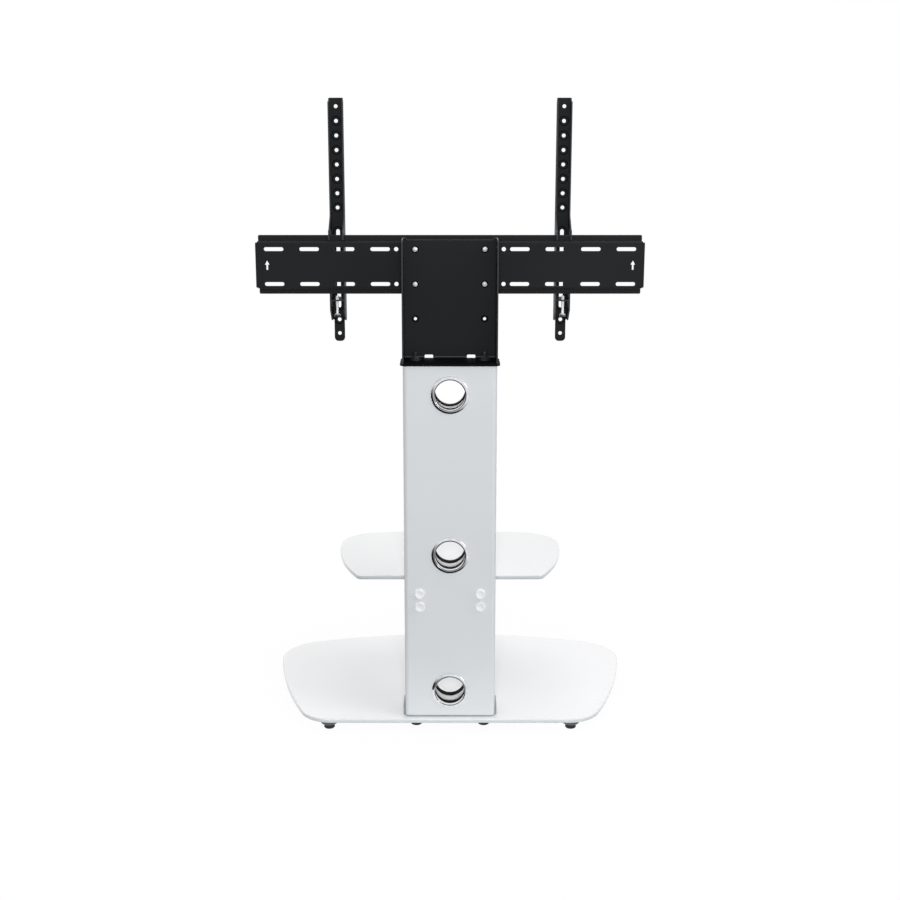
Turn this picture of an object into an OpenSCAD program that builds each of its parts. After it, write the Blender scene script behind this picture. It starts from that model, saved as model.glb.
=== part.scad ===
// Pedestal television stand: a glass base on four feet, a hollow steel column with cable ports,
// a glass shelf, and a black steel tower with a slotted plate that carries two sliding arms.
// Lengths are millimetres. The floor is z = 0, the screen side faces -Y and +X is the right
// hand of someone who looks at the screen.

/* [Base glass] */
// Width of the base glass across its side curves
base_w = 692; // [640:1:760]
// Depth of the base glass
base_d = 431.3; // [410:0.1:470]
// Thickness of the base glass
base_t = 8; // [6:0.5:12]
// Height of the underside of the base glass above the floor
base_z = 16; // [15:0.5:24]
// Radius of the front curve
base_front_r = 920; // [820:10:1400]
// Radius of the two side curves
base_side_r = 900; // [820:10:1400]
// Distance from the back edge to where the side curves are widest
base_side_y = 384.6; // [340:0.1:420]
// Radius of the two front corners
base_front_corner_r = 90; // [60:1:110]
// Radius of the two back corners
base_back_corner_r = 65; // [40:1:80]

/* [Feet] */
// Diameter of the disc bonded under the glass
foot_disc_d = 32; // [28:0.5:40]
// Thickness of the disc bonded under the glass
foot_disc_t = 6; // [5:0.5:8]
// Diameter of the rubber pad
foot_pad_d = 20; // [16:0.5:26]
// Rounding of the rim that stands on the floor
foot_pad_round = 2.5; // [1:0.1:3.5]
// Distance of a back foot from the widest part of the glass's side
foot_back_side = 122.5; // [100:0.5:146]
// Distance of a back foot from the back edge of the glass
foot_back_inset = 18; // [17:0.5:40]
// Distance of a front foot from the widest part of the glass's side
foot_front_side = 56; // [46:1:126]
// Distance of a front foot from the front edge of the glass
foot_front_inset = 86; // [80:1:120]
// Diameter of the screw that holds a pad
foot_screw_d = 5; // [4:0.5:6]
// Diameter of the head of that screw
foot_screw_head_d = 9; // [8:0.1:10]
// Height of the head of that screw
foot_screw_head_h = 2.8; // [2:0.1:3]

/* [Column] */
// Width of the column
column_w = 165; // [150:0.5:190]
// Depth of the column
column_d = 60.5; // [56:0.5:80]
// Height of the painted tube
column_h = 653.6; // [560:0.1:900]
// Wall of the painted tube
column_wall = 2; // [1.5:0.1:3]
// Outer radius of the upright corners
column_corner_r = 8; // [5:0.5:12]
// Distance from the back edge of the glass to the back of the column
column_inset = 11.3; // [8:0.1:40]
// Thickness of the plates welded inside the two ends of the tube
end_plate_t = 5; // [4:0.5:8]

/* [Column shoe] */
// Thickness of the plastic shoe under the column
shoe_t = 3; // [2:0.1:5]
// Thickness of the ears beside the column
shoe_ear_t = 2.8; // [2:0.1:4]
// Height of the ears above the glass
shoe_ear_h = 21; // [12:0.5:40]
// Play between an ear and the side of the column
shoe_play = 0.5; // [0.2:0.1:1]

/* [Base bolts] */
// Diameter of the bolts that hold the column to the glass
base_bolt_d = 8; // [6:1:10]
// Diameter of their flat heads
base_bolt_head_d = 21; // [18:0.5:24]
// Height of their flat heads
base_bolt_head_h = 6.5; // [4:0.5:8]
// Across flats of their hexagon socket
base_bolt_socket = 5; // [4:0.5:8]
// Diameter of the nylon washer above each head
base_washer_d = 24; // [22:0.5:28]
// Thickness of the nylon washer above each head
base_washer_t = 2.5; // [1.5:0.1:4]
// Distance of a bolt from the middle line
base_bolt_x = 62; // [40:0.5:68]
// Distance between the back and the front bolts
base_bolt_pitch_y = 44; // [30:0.5:46]
// Diameter of the holes through the glass
base_glass_hole_d = 11; // [9:0.5:14]

/* [Cable ports] */
// Free diameter of a cable port
port_bore_d = 53.7; // [40:0.1:60]
// Diameter of the bright flange on the face of the column
port_flange_d = 67.5; // [62:0.1:76]
// How far the flange stands out of the column
port_flange_t = 3; // [2:0.1:5]
// Rounding of the rim of the flange
port_edge_r = 2.4; // [1:0.1:2.8]
// Wall of the sleeve that reaches into the column
port_sleeve_wall = 2; // [1.2:0.1:3]
// Length of the sleeve behind the face of the column
port_sleeve_len = 17; // [8:0.5:22]
// Height of the low port above the foot of the tube
port_low_h = 48.4; // [42:0.1:80]
// Height of the middle port above the foot of the tube
port_middle_h = 308.5; // [290:0.1:360]
// Height of the top port above the foot of the tube
port_top_h = 601.7; // [540:0.1:606]

/* [Shelf glass] */
// Width of the shelf glass across its side curves
shelf_w = 430; // [400:1:520]
// Depth of the shelf glass
shelf_d = 281; // [260:1:320]
// Thickness of the shelf glass
shelf_t = 8; // [6:0.5:10]
// Height of the underside of the shelf glass above the floor
shelf_z = 269.5; // [240:0.5:280]
// Radius of the front curve of the shelf
shelf_front_r = 1200; // [900:10:1600]
// Radius of the side curves of the shelf
shelf_side_r = 400; // [360:5:600]
// Distance from the back edge to where the shelf is widest
shelf_side_y = 184; // [150:1:210]
// Radius of the front corners of the shelf
shelf_front_corner_r = 75; // [50:1:85]
// Radius of the back corners of the shelf
shelf_back_corner_r = 12; // [6:1:20]
// Gap between the shelf glass and the column
shelf_gap = 0.4; // [0.3:0.1:2]

/* [Shelf bracket] */
// Width of the bracket
bracket_w = 140; // [126:1:150]
// Reach of the bracket under the glass
bracket_reach = 170; // [120:1:200]
// Height of the flange against the column
bracket_flange_h = 36.5; // [34:0.5:60]
// Thickness of the flange against the column
bracket_flange_t = 4; // [3:0.5:6]
// Thickness of the plate under the glass
bracket_plate_t = 2.5; // [2:0.1:4]
// Thickness of the two side ribs
bracket_rib_t = 3; // [2:0.1:4]
// Height of the side ribs at their front end
bracket_rib_front_h = 9; // [6:0.5:20]
// Thickness of the bonding pad between bracket and glass
bond_pad_t = 1.5; // [1:0.1:3]
// Margin of the bonding pad inside the edge of the bracket
bond_pad_margin = 4; // [2:0.5:10]

/* [Shelf bolts] */
// Diameter of the bolts through the column
shelf_bolt_d = 6; // [5:0.5:6]
// Distance of a bolt from the middle line
shelf_bolt_x = 54.7; // [40:0.1:60]
// Depth of the upper bolts below the shelf glass
shelf_bolt_drop = 6.2; // [6:0.1:12]
// Distance between the upper and the lower bolts
shelf_bolt_pitch = 24.4; // [16:0.1:26]
// Diameter of the domed heads
shelf_bolt_head_d = 11; // [9:0.5:12]
// Height of the domed heads
shelf_bolt_head_h = 3.2; // [2.5:0.1:3.5]
// Diameter of the tubes that keep the column from crushing
spacer_d = 12; // [10:0.5:14]
// Diameter of the white caps over the heads
bolt_cap_d = 19; // [16:0.5:22]
// Height of the white caps
bolt_cap_h = 5; // [4.5:0.1:7]
// Wall of the white caps
bolt_cap_wall = 1.2; // [0.8:0.1:1.5]
// Depth of the dish in the white caps
bolt_cap_dish = 0.5; // [0.2:0.1:0.6]

/* [Top cap] */
// How far the cap stands out beside the column
cap_overhang = 4.9; // [1:0.1:8]
// Thickness of the cap
cap_t = 3; // [2:0.1:5]
// Radius of the corners of the cap
cap_corner_r = 10; // [5:0.5:14]

/* [Tower] */
// Width of the tower
tower_w = 166.5; // [150:0.5:190]
// Depth of the tower
tower_d = 60.4; // [50:0.1:80]
// Sheet of the tower
tower_sheet = 2.5; // [2:0.1:4]
// Height of the side flanges of the tower
tower_flange_h = 213.4; // [200:0.1:260]
// How much lower the web stands than the flanges
tower_web_drop = 4; // [0:0.5:10]
// Radius of the upper back corners of the flanges
tower_corner_r = 6; // [2:0.5:12]
// Width of each notch at the foot of the web
tower_notch_w = 15; // [8:0.5:20]
// Height of each notch at the foot of the web
tower_notch_h = 7; // [4:0.5:12]
// Distance of a notch from the middle line
tower_notch_x = 37.5; // [20:0.5:44]
// Distance of a stud from the middle line
stud_x = 61; // [50:0.5:66]
// Diameter of the studs that hold the tower
stud_d = 8; // [6:1:10]
// Length of stud above the floor of the tower
stud_stand = 15; // [10:0.5:20]
// Across flats of the stud nuts
stud_nut_flats = 13; // [12:0.5:17]
// Height of the stud nuts
stud_nut_h = 6.5; // [5:0.5:8]
// Diameter of the stud washers
stud_washer_d = 20; // [18:0.5:24]
// Thickness of the stud washers
stud_washer_t = 1.6; // [1:0.1:2.5]

/* [Wall plate] */
// Width of the plate
plate_w = 680.5; // [600:0.5:760]
// Height of the flat face of the plate
plate_h = 81.7; // [78:0.1:100]
// Sheet of the plate
plate_sheet = 2.5; // [2:0.1:3]
// How far the lips stand in front of the flat face
plate_step = 18.9; // [16:0.1:30]
// Height of the upper lip above the flat face
lip_top_h = 10.1; // [9:0.1:14]
// Height of the lower lip below the flat face
lip_low_h = 11.6; // [8:0.1:14]
// How much shorter each end of the lips is than the flat face
lip_inset = 3; // [1:0.5:10]
// Distance from the top of the flat face to the upper row of holes
row_drop = 12.9; // [10:0.1:16]
// Distance between rows of holes, also the step of height of the plate on the tower
row_pitch = 60.9; // [50:0.1:62]
// Distance from the foot of the tower to the lowest row of holes
row_low_h = 71.1; // [50:0.1:80]
// Distance of the plate bolts from the middle line
plate_bolt_x = 61; // [50:0.5:70]
// Diameter of the plate bolts
plate_bolt_d = 5; // [4:0.5:6]
// Diameter of the domed heads of the plate bolts
plate_bolt_head_d = 9.4; // [8:0.1:11]
// Height of the domed heads of the plate bolts
plate_bolt_head_h = 2.8; // [2:0.1:3.5]
// Across flats of the nuts on the plate bolts
plate_nut_flats = 8; // [7:0.5:10]
// Height of the nuts on the plate bolts
plate_nut_h = 4; // [3:0.5:5]
// Distance of the round holes from the middle line
round_hole_x = 94; // [90:0.5:98]
// Diameter of the round holes
round_hole_d = 7.4; // [5:0.1:9]
// Distance of the first slots from the middle line
slot_first_x = 122; // [118:0.5:126]
// Distance between slots
slot_pitch = 62; // [50:0.5:64]
// Length of a slot
slot_len = 34; // [20:0.5:40]
// Width of a slot
slot_w = 6.6; // [5:0.1:9]
// Number of slots on each side of a row
slot_count = 4; // [2:1:4]
// Distance of the arrow cut-outs from the middle line
arrow_x = 320; // [300:1:326]
// Height of an arrow cut-out
arrow_h = 16; // [10:0.5:24]

/* [Arms] */
// Distance of each arm from the middle line
arm_x = 200; // [150:1:250]
// Width of an arm
arm_w = 27; // [24:0.5:32]
// Width of the tongue at its lower end
arm_tongue_w = 19; // [18.5:0.5:22]
// Sheet of an arm
arm_sheet = 2.5; // [2:0.1:3]
// Depth of its flanges
arm_flange_d = 14; // [10:0.5:20]
// Distance from the lips of the plate to the face that the screen is screwed to
arm_reach = 44.5; // [36:0.5:60]
// Distance between the highest and the lowest screw hole
arm_hole_span = 400; // [400:100:400]
// Distance between neighbouring screw holes
arm_hole_pitch = 25; // [25:25:25]
// Number of dished holes below the highest hole
arm_dished_holes = 7; // [4:1:7]
// Diameter of the screw holes
arm_hole_d = 6.6; // [5:0.1:9]
// Diameter of the dished seat round a hole
arm_seat_d = 17; // [12:0.5:18]
// Depth of the dished seat round a hole
arm_seat_depth = 0.8; // [0.4:0.1:1.2]
// Arm beyond the highest and the lowest hole
arm_margin = 14.5; // [12:0.5:20]
// Distance from the highest hole to the edge of the lip that the hook sits on
arm_hang = 219.2; // [200:0.1:240]
// Distance from the highest hole to the upper end of the slot
arm_slot_top_drop = 216.5; // [210:0.5:230]
// Distance from the lowest hole to the lower end of the slot
arm_slot_low_rise = 50; // [46:0.5:90]
// Radius of the upper corners of an arm
arm_corner_r = 6; // [2:0.5:10]

/* [Lock screws] */
// Diameter of a lock screw
lock_d = 6; // [5:0.5:8]
// Diameter of its head
lock_head_d = 11.6; // [10:0.1:14]
// Height of its head
lock_head_h = 5.6; // [4:0.1:8]
// Length of its shank
lock_len = 31; // [24:0.5:36]
// Gap between its tip and the lower lip
lock_gap = 3.5; // [1:0.1:6]
// Thickness of the tab that it is threaded through
lock_tab_t = 2; // [1.5:0.1:3]
// Length of screw above the tab
lock_above_tab = 7; // [4:0.5:10]

/* [Hidden] */

// Facets of small rounds and of the long curves of the glass
$fn = 64;
curve_fn = 720;
hex_fn = 6;

// Gap of a close fit, of a thread against a hole in its own nut, and overrun of every cut
fit_gap = 0.2;
thread_gap = 0.05;
cut_over = 1;

// How far a corner circle of the glass stands out past the outline
corner_ease = 0.02;

// Heights, from the floor up
shoe_z = base_z + base_t;
column_z = shoe_z + shoe_t;
column_top_z = column_z + column_h;
tower_z = column_top_z + cap_t;
row_low_z = tower_z + row_low_h;
row_upper_z = row_low_z + 2 * row_pitch;
plate_top_z = row_upper_z + row_drop;
plate_low_z = plate_top_z - plate_h;
lip_top_z = plate_top_z + lip_top_h;
lip_low_z = plate_low_z - lip_low_h;
port_z = [column_z + port_low_h, column_z + port_middle_h, column_z + port_top_h];

// Places along Y, from the back edge of the glass forwards
base_back_y = base_d / 2;
column_back_y = base_back_y - column_inset;
column_front_y = column_back_y - column_d;
column_y = column_back_y - column_d / 2;
tower_front_y = column_y - tower_d / 2;
tower_back_y = column_y + tower_d / 2;
plate_front_y = tower_front_y - plate_sheet;
lip_back_y = tower_front_y - plate_step;
lip_front_y = lip_back_y - plate_sheet;
arm_front_y = lip_front_y - arm_reach;

// Feet: signs of x, and places
foot_pad_h = base_z - foot_disc_t;
foot_back_x = base_w / 2 - foot_back_side;
foot_front_x = base_w / 2 - foot_front_side;
foot_back_y = base_back_y - foot_back_inset;
foot_front_y = foot_front_inset - base_back_y;

// Shelf bracket and bolts
bracket_top_z = shelf_z - bond_pad_t;
shelf_bolt_z = [shelf_z - shelf_bolt_drop, shelf_z - shelf_bolt_drop - shelf_bolt_pitch];

// Arm: heights of its holes, ends and hook
hook_gap = 0.4;
arm_hole_top_z = lip_top_z + hook_gap + arm_hang;
arm_hole_low_z = arm_hole_top_z - arm_hole_span;
arm_top_z = arm_hole_top_z + arm_margin;
arm_low_z = arm_hole_low_z - arm_margin;
arm_inner_w = arm_w - 2 * arm_sheet;
arm_flange_low_z = arm_hole_low_z + arm_hole_pitch;
slot_top_z = arm_hole_top_z - arm_slot_top_drop;
slot_low_z = arm_hole_low_z + arm_slot_low_rise;
hook_bar_h = 9;
hook_finger_t = 6;
hook_finger_drop = lip_top_h - 1.5 * hook_gap;
hook_slope_h = 22;
hook_back_y = lip_back_y + hook_gap + hook_finger_t;

// Lock screw: its axis is under the middle of the lower lip
lock_y = lip_front_y + plate_sheet / 2;
lock_tip_z = lip_low_z - lock_gap;
lock_tab_z = lock_tip_z - lock_above_tab - lock_tab_t;
lock_head_z = lock_tip_z - lock_len - lock_head_h;
lock_socket_flats = 5;
lock_socket_h = 3;
lock_chamfer = 0.8;
lock_tab_back_y = lock_y + lock_d;

// Hole rows of the tower that the plate is bolted to, counted up from the spare row
plate_rows = [1, 2];

// Small sizes of fasteners
socket_h = 1.6;
shelf_socket_flats = 4;
plate_socket_flats = 3;
nut_chamfer_share = 0.12;

// Centre of a circle that touches two larger circles from inside, on the side of larger x:
// a and b are the centres of the larger circles, ra and rb what is left of their radii
function inner_centre(a, ra, b, rb) =
    let (gap = norm(b - a), u = (b - a) / gap)
    let (along = (ra * ra - rb * rb + gap * gap) / (2 * gap))
    let (out = sqrt(ra * ra - along * along))
    a + along * u + out * [u[1], -u[0]] * sign(u[1]);

// Point where the circle of radius r about p touches the larger circle about c
function touch(p, c, r) = p + r * (p - c) / norm(p - c);

// Takes the sharp corner off beyond a circle about p that touches the outline at t and q.
// The circle is a hair larger, so that it crosses the outline instead of grazing it.
module corner_trim(p, t, q, r) {
    difference() {
        polygon([p, p + 2 * (t - p), p + 2 * (t - p) + 2 * (q - p), p + 2 * (q - p)]);
        translate(p) circle(r + corner_ease, $fn = curve_fn);
    }
}

// Outline of a glass panel: straight back edge on y = 0, curved sides and front
module glass_outline(w, d, front_r, side_r, side_y, front_corner_r, back_corner_r) {
    front_c = [0, front_r - d];
    side_c = [w / 2 - side_r, -side_y];
    front_p = inner_centre(front_c, front_r - front_corner_r, side_c, side_r - front_corner_r);
    back_rise = side_y - back_corner_r;
    back_run = sqrt(pow(side_r - back_corner_r, 2) - pow(back_rise, 2));
    back_p = [side_c[0] + back_run, -back_corner_r];
    difference() {
        intersection() {
            translate(front_c) circle(front_r, $fn = curve_fn);
            translate(side_c) circle(side_r, $fn = curve_fn);
            mirror([1, 0]) translate(side_c) circle(side_r, $fn = curve_fn);
            translate([-w, -2 * d]) square([2 * w, 2 * d]);
        }
        for (side = [0, 1]) mirror([side, 0]) {
            corner_trim(front_p, touch(front_p, front_c, front_corner_r),
                touch(front_p, side_c, front_corner_r), front_corner_r);
            corner_trim(back_p, touch(back_p, side_c, back_corner_r),
                [back_p[0], 0], back_corner_r);
        }
    }
}

module rounded_rect(w, d, r) {
    square([w - 2 * r, d], center = true);
    square([w, d - 2 * r], center = true);
    for (x = [-1, 1], y = [-1, 1]) translate([x * (w / 2 - r), y * (d / 2 - r)]) circle(r);
}

// A slot of full length l and width w along the first axis
module slot_shape(l, w) {
    square([l - w, w], center = true);
    for (end = [-1, 1]) translate([end * (l - w) / 2, 0]) circle(w / 2);
}

// Turns a shape so that its +Z points along +Y, or along -Y
module to_back() rotate([-90, 0, 0]) children();
module to_front() rotate([90, 0, 0]) children();

// Extrudes a shape drawn in Y and Z along X, from x over a length t
module across(x, t) translate([x, 0, 0]) rotate([90, 0, 90]) linear_extrude(t) children();

// Extrudes a shape drawn in X and Z backwards, from y over a length t
module backwards(y, t) translate([0, y + t, 0]) rotate([90, 0, 0]) linear_extrude(t) children();

// A hole drilled along Y that clears the faces y0 and y1
module drill_y(d, y0, y1) {
    translate([0, y0 - cut_over, 0]) to_back() cylinder(d = d, h = y1 - y0 + 2 * cut_over);
}

// A hexagon of the given size across flats
module hex_bar(flats, h) cylinder(d = flats / cos(180 / hex_fn), h = h, $fn = hex_fn);

// A domed screw head on z = 0 that stands up to h, with a hexagon socket
module dome_head(d, h, socket) {
    ball_r = (d * d / 4 + h * h) / (2 * h);
    difference() {
        intersection() {
            cylinder(d = d, h = h);
            translate([0, 0, h - ball_r]) sphere(ball_r);
        }
        translate([0, 0, h - socket_h]) hex_bar(socket, socket_h + cut_over);
    }
}

// A hexagon nut on z = 0 with a hole for a screw of diameter d
module hex_nut(flats, h, d) {
    difference() {
        hex_bar(flats, h);
        translate([0, 0, -cut_over]) cylinder(d = d + 2 * thread_gap, h = h + 2 * cut_over);
    }
}

module washer(outer_d, hole_d, t) {
    difference() {
        cylinder(d = outer_d, h = t);
        translate([0, 0, -cut_over]) cylinder(d = hole_d, h = t + 2 * cut_over);
    }
}

// Places of the four base bolts and of the four feet
module at_base_bolts(z) {
    for (x = [-1, 1], y = [-1, 1])
        translate([x * base_bolt_x, column_y + y * base_bolt_pitch_y / 2, z]) children();
}

module at_feet(z) {
    for (x = [-1, 1]) {
        translate([x * foot_back_x, foot_back_y, z]) children();
        translate([x * foot_front_x, foot_front_y, z]) children();
    }
}

module base_glass() {
    color("whitesmoke") difference() {
        translate([0, base_back_y, base_z]) linear_extrude(base_t) glass_outline(base_w, base_d,
            base_front_r, base_side_r, base_side_y, base_front_corner_r, base_back_corner_r);
        at_base_bolts(base_z - cut_over)
            cylinder(d = base_glass_hole_d, h = base_t + 2 * cut_over);
    }
}

// Disc bonded under the glass, with a blind threaded hole from below
module foot_disc(x, y) {
    color("dimgray") translate([x, y, foot_pad_h]) difference() {
        cylinder(d = foot_disc_d, h = foot_disc_t);
        translate([0, 0, -cut_over])
            cylinder(d = foot_screw_d + 2 * thread_gap, h = foot_disc_t - column_wall / 2 + cut_over);
    }
}

// Rubber pad with a rounded rim and a recess for the head of its screw
module foot_pad(x, y) {
    pad_r = foot_pad_d / 2;
    recess_h = foot_screw_head_h + fit_gap + foot_pad_round / 2;
    color("black") translate([x, y, 0]) difference() {
        rotate_extrude() {
            square([pad_r - foot_pad_round, foot_pad_h]);
            translate([0, foot_pad_round]) square([pad_r, foot_pad_h - foot_pad_round]);
            intersection() {
                translate([pad_r - foot_pad_round, foot_pad_round]) circle(foot_pad_round);
                square([pad_r, foot_pad_h]);
            }
        }
        translate([0, 0, -cut_over])
            cylinder(d = foot_screw_head_d + 2 * fit_gap, h = recess_h + cut_over);
        translate([0, 0, -cut_over])
            cylinder(d = foot_screw_d + 2 * fit_gap, h = foot_pad_h + 2 * cut_over);
    }
}

module foot_screws() {
    head_z = foot_pad_round / 2 + fit_gap;
    color("silver") at_feet(head_z) {
        cylinder(d = foot_screw_head_d, h = foot_screw_head_h);
        cylinder(d = foot_screw_d, h = foot_pad_h + foot_disc_t / 2 - head_z);
    }
}

// Flat-headed bolts from under the glass into the foot plate of the column
module base_bolts() {
    head_z = base_z - base_washer_t - base_bolt_head_h;
    top_z = column_z + end_plate_t + base_bolt_head_h / 2;
    color("gray") at_base_bolts(head_z) difference() {
        union() {
            cylinder(d = base_bolt_head_d, h = base_bolt_head_h);
            cylinder(d = base_bolt_d, h = top_z - head_z);
        }
        translate([0, 0, -cut_over])
            hex_bar(base_bolt_socket, base_bolt_head_h / 2 + cut_over);
    }
}

module base_bolt_washers() {
    color("black") at_base_bolts(base_z - base_washer_t)
        washer(base_washer_d, base_bolt_d + 2 * fit_gap, base_washer_t);
}

// Plastic shoe: a plate between column and glass with an ear on each side
module column_shoe() {
    ear_x = column_w / 2 + shoe_play;
    ear_len = column_d - 2 * column_corner_r;
    color("dimgray") difference() {
        union() {
            translate([0, column_y, shoe_z]) linear_extrude(shoe_t)
                rounded_rect(column_w, column_d, column_corner_r);
            for (side = [0, 1]) mirror([side, 0, 0]) {
                translate([0, column_y - ear_len / 2, shoe_z])
                    cube([ear_x + shoe_ear_t, ear_len, shoe_t]);
                translate([ear_x, column_y - ear_len / 2, shoe_z])
                    cube([shoe_ear_t, ear_len, shoe_ear_h]);
            }
        }
        at_base_bolts(shoe_z - cut_over)
            cylinder(d = base_bolt_d + 2 * fit_gap, h = shoe_t + 2 * cut_over);
    }
}

// Hollow painted tube with six port holes and eight bolt holes
module column_tube() {
    inner_r = column_corner_r - column_wall;
    port_hole_d = port_bore_d + 2 * port_sleeve_wall + 2 * fit_gap;
    color("gainsboro") difference() {
        translate([0, column_y, column_z]) linear_extrude(column_h) difference() {
            rounded_rect(column_w, column_d, column_corner_r);
            rounded_rect(column_w - 2 * column_wall, column_d - 2 * column_wall, inner_r);
        }
        for (z = port_z) translate([0, 0, z]) drill_y(port_hole_d, column_front_y, column_back_y);
        for (x = [-1, 1], z = shelf_bolt_z) translate([x * shelf_bolt_x, 0, z])
            drill_y(shelf_bolt_d + 2 * fit_gap, column_front_y, column_back_y);
    }
}

// Outline of a plate welded inside the tube
module end_plate_outline() {
    inset = column_wall + fit_gap;
    rounded_rect(column_w - 2 * inset, column_d - 2 * inset, column_corner_r - inset);
}

module column_foot_plate() {
    color("darkgray") difference() {
        translate([0, column_y, column_z]) linear_extrude(end_plate_t) end_plate_outline();
        at_base_bolts(column_z - cut_over)
            cylinder(d = base_bolt_d + 2 * thread_gap, h = end_plate_t + 2 * cut_over);
    }
}

module column_head_plate() {
    color("darkgray") difference() {
        translate([0, column_y, column_top_z - end_plate_t]) linear_extrude(end_plate_t)
            end_plate_outline();
        for (x = [-1, 1])
            translate([x * stud_x, column_y, column_top_z - end_plate_t - cut_over])
                cylinder(d = stud_d + 2 * thread_gap, h = end_plate_t + 2 * cut_over);
    }
}

// Bright ring with a sleeve, drawn with its flange on z = 0 and its sleeve below
module cable_ring() {
    bore_r = port_bore_d / 2;
    flange_r = port_flange_d / 2;
    color("silver") rotate_extrude() {
        translate([bore_r, 0]) square([flange_r - bore_r - port_edge_r, port_flange_t]);
        translate([bore_r, 0]) square([flange_r - bore_r, port_flange_t - port_edge_r]);
        intersection() {
            translate([flange_r - port_edge_r, port_flange_t - port_edge_r]) circle(port_edge_r);
            translate([bore_r, 0]) square([flange_r - bore_r, port_flange_t]);
        }
        translate([bore_r, -port_sleeve_len])
            square([port_sleeve_wall, port_sleeve_len + port_flange_t / 2]);
    }
}

module cable_ring_back(z) translate([0, column_back_y, z]) to_back() cable_ring();
module cable_ring_front(z) translate([0, column_front_y, z]) to_front() cable_ring();

module shelf_glass() {
    color("whitesmoke") translate([0, column_front_y - shelf_gap, shelf_z])
        linear_extrude(shelf_t) glass_outline(shelf_w, shelf_d, shelf_front_r, shelf_side_r,
            shelf_side_y, shelf_front_corner_r, shelf_back_corner_r);
}

module shelf_bond_pad() {
    pad_w = bracket_w - 2 * bond_pad_margin;
    pad_d = bracket_reach - 2 * bond_pad_margin;
    color("lightgray") translate([-pad_w / 2, column_front_y - bond_pad_margin - pad_d, bracket_top_z])
        cube([pad_w, pad_d, bond_pad_t]);
}

// Folded bracket: flange against the column, plate under the glass and two tapered ribs
module shelf_bracket() {
    plate_z = bracket_top_z - bracket_plate_t;
    flange_z = bracket_top_z - bracket_flange_h;
    end_y = column_front_y - bracket_reach;
    color("lightgray") difference() {
        union() {
            translate([-bracket_w / 2, column_front_y - bracket_flange_t, flange_z])
                cube([bracket_w, bracket_flange_t, bracket_flange_h]);
            translate([-bracket_w / 2, end_y, plate_z])
                cube([bracket_w, bracket_reach, bracket_plate_t]);
            for (x = [-bracket_w / 2, bracket_w / 2 - bracket_rib_t]) across(x, bracket_rib_t)
                polygon([[column_front_y, bracket_top_z], [column_front_y, flange_z],
                    [column_front_y - bracket_flange_t, flange_z],
                    [end_y, bracket_top_z - bracket_rib_front_h], [end_y, bracket_top_z]]);
        }
        for (x = [-1, 1], z = shelf_bolt_z) translate([x * shelf_bolt_x, 0, z])
            drill_y(shelf_bolt_d + 2 * thread_gap, column_front_y - bracket_flange_t, column_front_y);
    }
}

module shelf_bolts() {
    tip_y = column_front_y - bracket_flange_t + fit_gap;
    color("silver") for (x = [-1, 1], z = shelf_bolt_z) translate([x * shelf_bolt_x, 0, z]) {
        translate([0, column_back_y, 0]) to_back()
            dome_head(shelf_bolt_head_d, shelf_bolt_head_h, shelf_socket_flats);
        translate([0, tip_y, 0]) to_back() cylinder(d = shelf_bolt_d, h = column_back_y - tip_y);
    }
}

module shelf_bolt_spacers() {
    tube_h = column_d - 2 * column_wall;
    color("gray") for (x = [-1, 1], z = shelf_bolt_z)
        translate([x * shelf_bolt_x, column_front_y + column_wall, z]) to_back()
            washer(spacer_d, shelf_bolt_d + 2 * fit_gap, tube_h);
}

// White plastic cap over the head of a shelf bolt, with a dished face
module bolt_cap() {
    rim_r = bolt_cap_wall;
    cap_r = bolt_cap_d / 2;
    dish_r = cap_r - 2 * bolt_cap_wall;
    dish_ball_r = (dish_r * dish_r + bolt_cap_dish * bolt_cap_dish) / (2 * bolt_cap_dish);
    difference() {
        rotate_extrude() {
            square([cap_r - rim_r, bolt_cap_h]);
            square([cap_r, bolt_cap_h - rim_r]);
            intersection() {
                translate([cap_r - rim_r, bolt_cap_h - rim_r]) circle(rim_r);
                square([cap_r, bolt_cap_h]);
            }
        }
        translate([0, 0, -cut_over]) cylinder(r = shelf_bolt_head_d / 2 + fit_gap,
            h = shelf_bolt_head_h + fit_gap + cut_over);
        translate([0, 0, bolt_cap_h - bolt_cap_dish + dish_ball_r])
            sphere(dish_ball_r, $fn = curve_fn);
    }
}

module shelf_bolt_caps() {
    color("white") for (x = [-1, 1], z = shelf_bolt_z)
        translate([x * shelf_bolt_x, column_back_y, z]) to_back() bolt_cap();
}

module top_cap() {
    color("black") difference() {
        translate([0, column_y, column_top_z]) linear_extrude(cap_t)
            rounded_rect(column_w + 2 * cap_overhang, column_d + 2 * cap_overhang, cap_corner_r);
        for (x = [-1, 1]) translate([x * stud_x, column_y, column_top_z - cut_over])
            cylinder(d = stud_d + 2 * fit_gap, h = cap_t + 2 * cut_over);
    }
}

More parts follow.
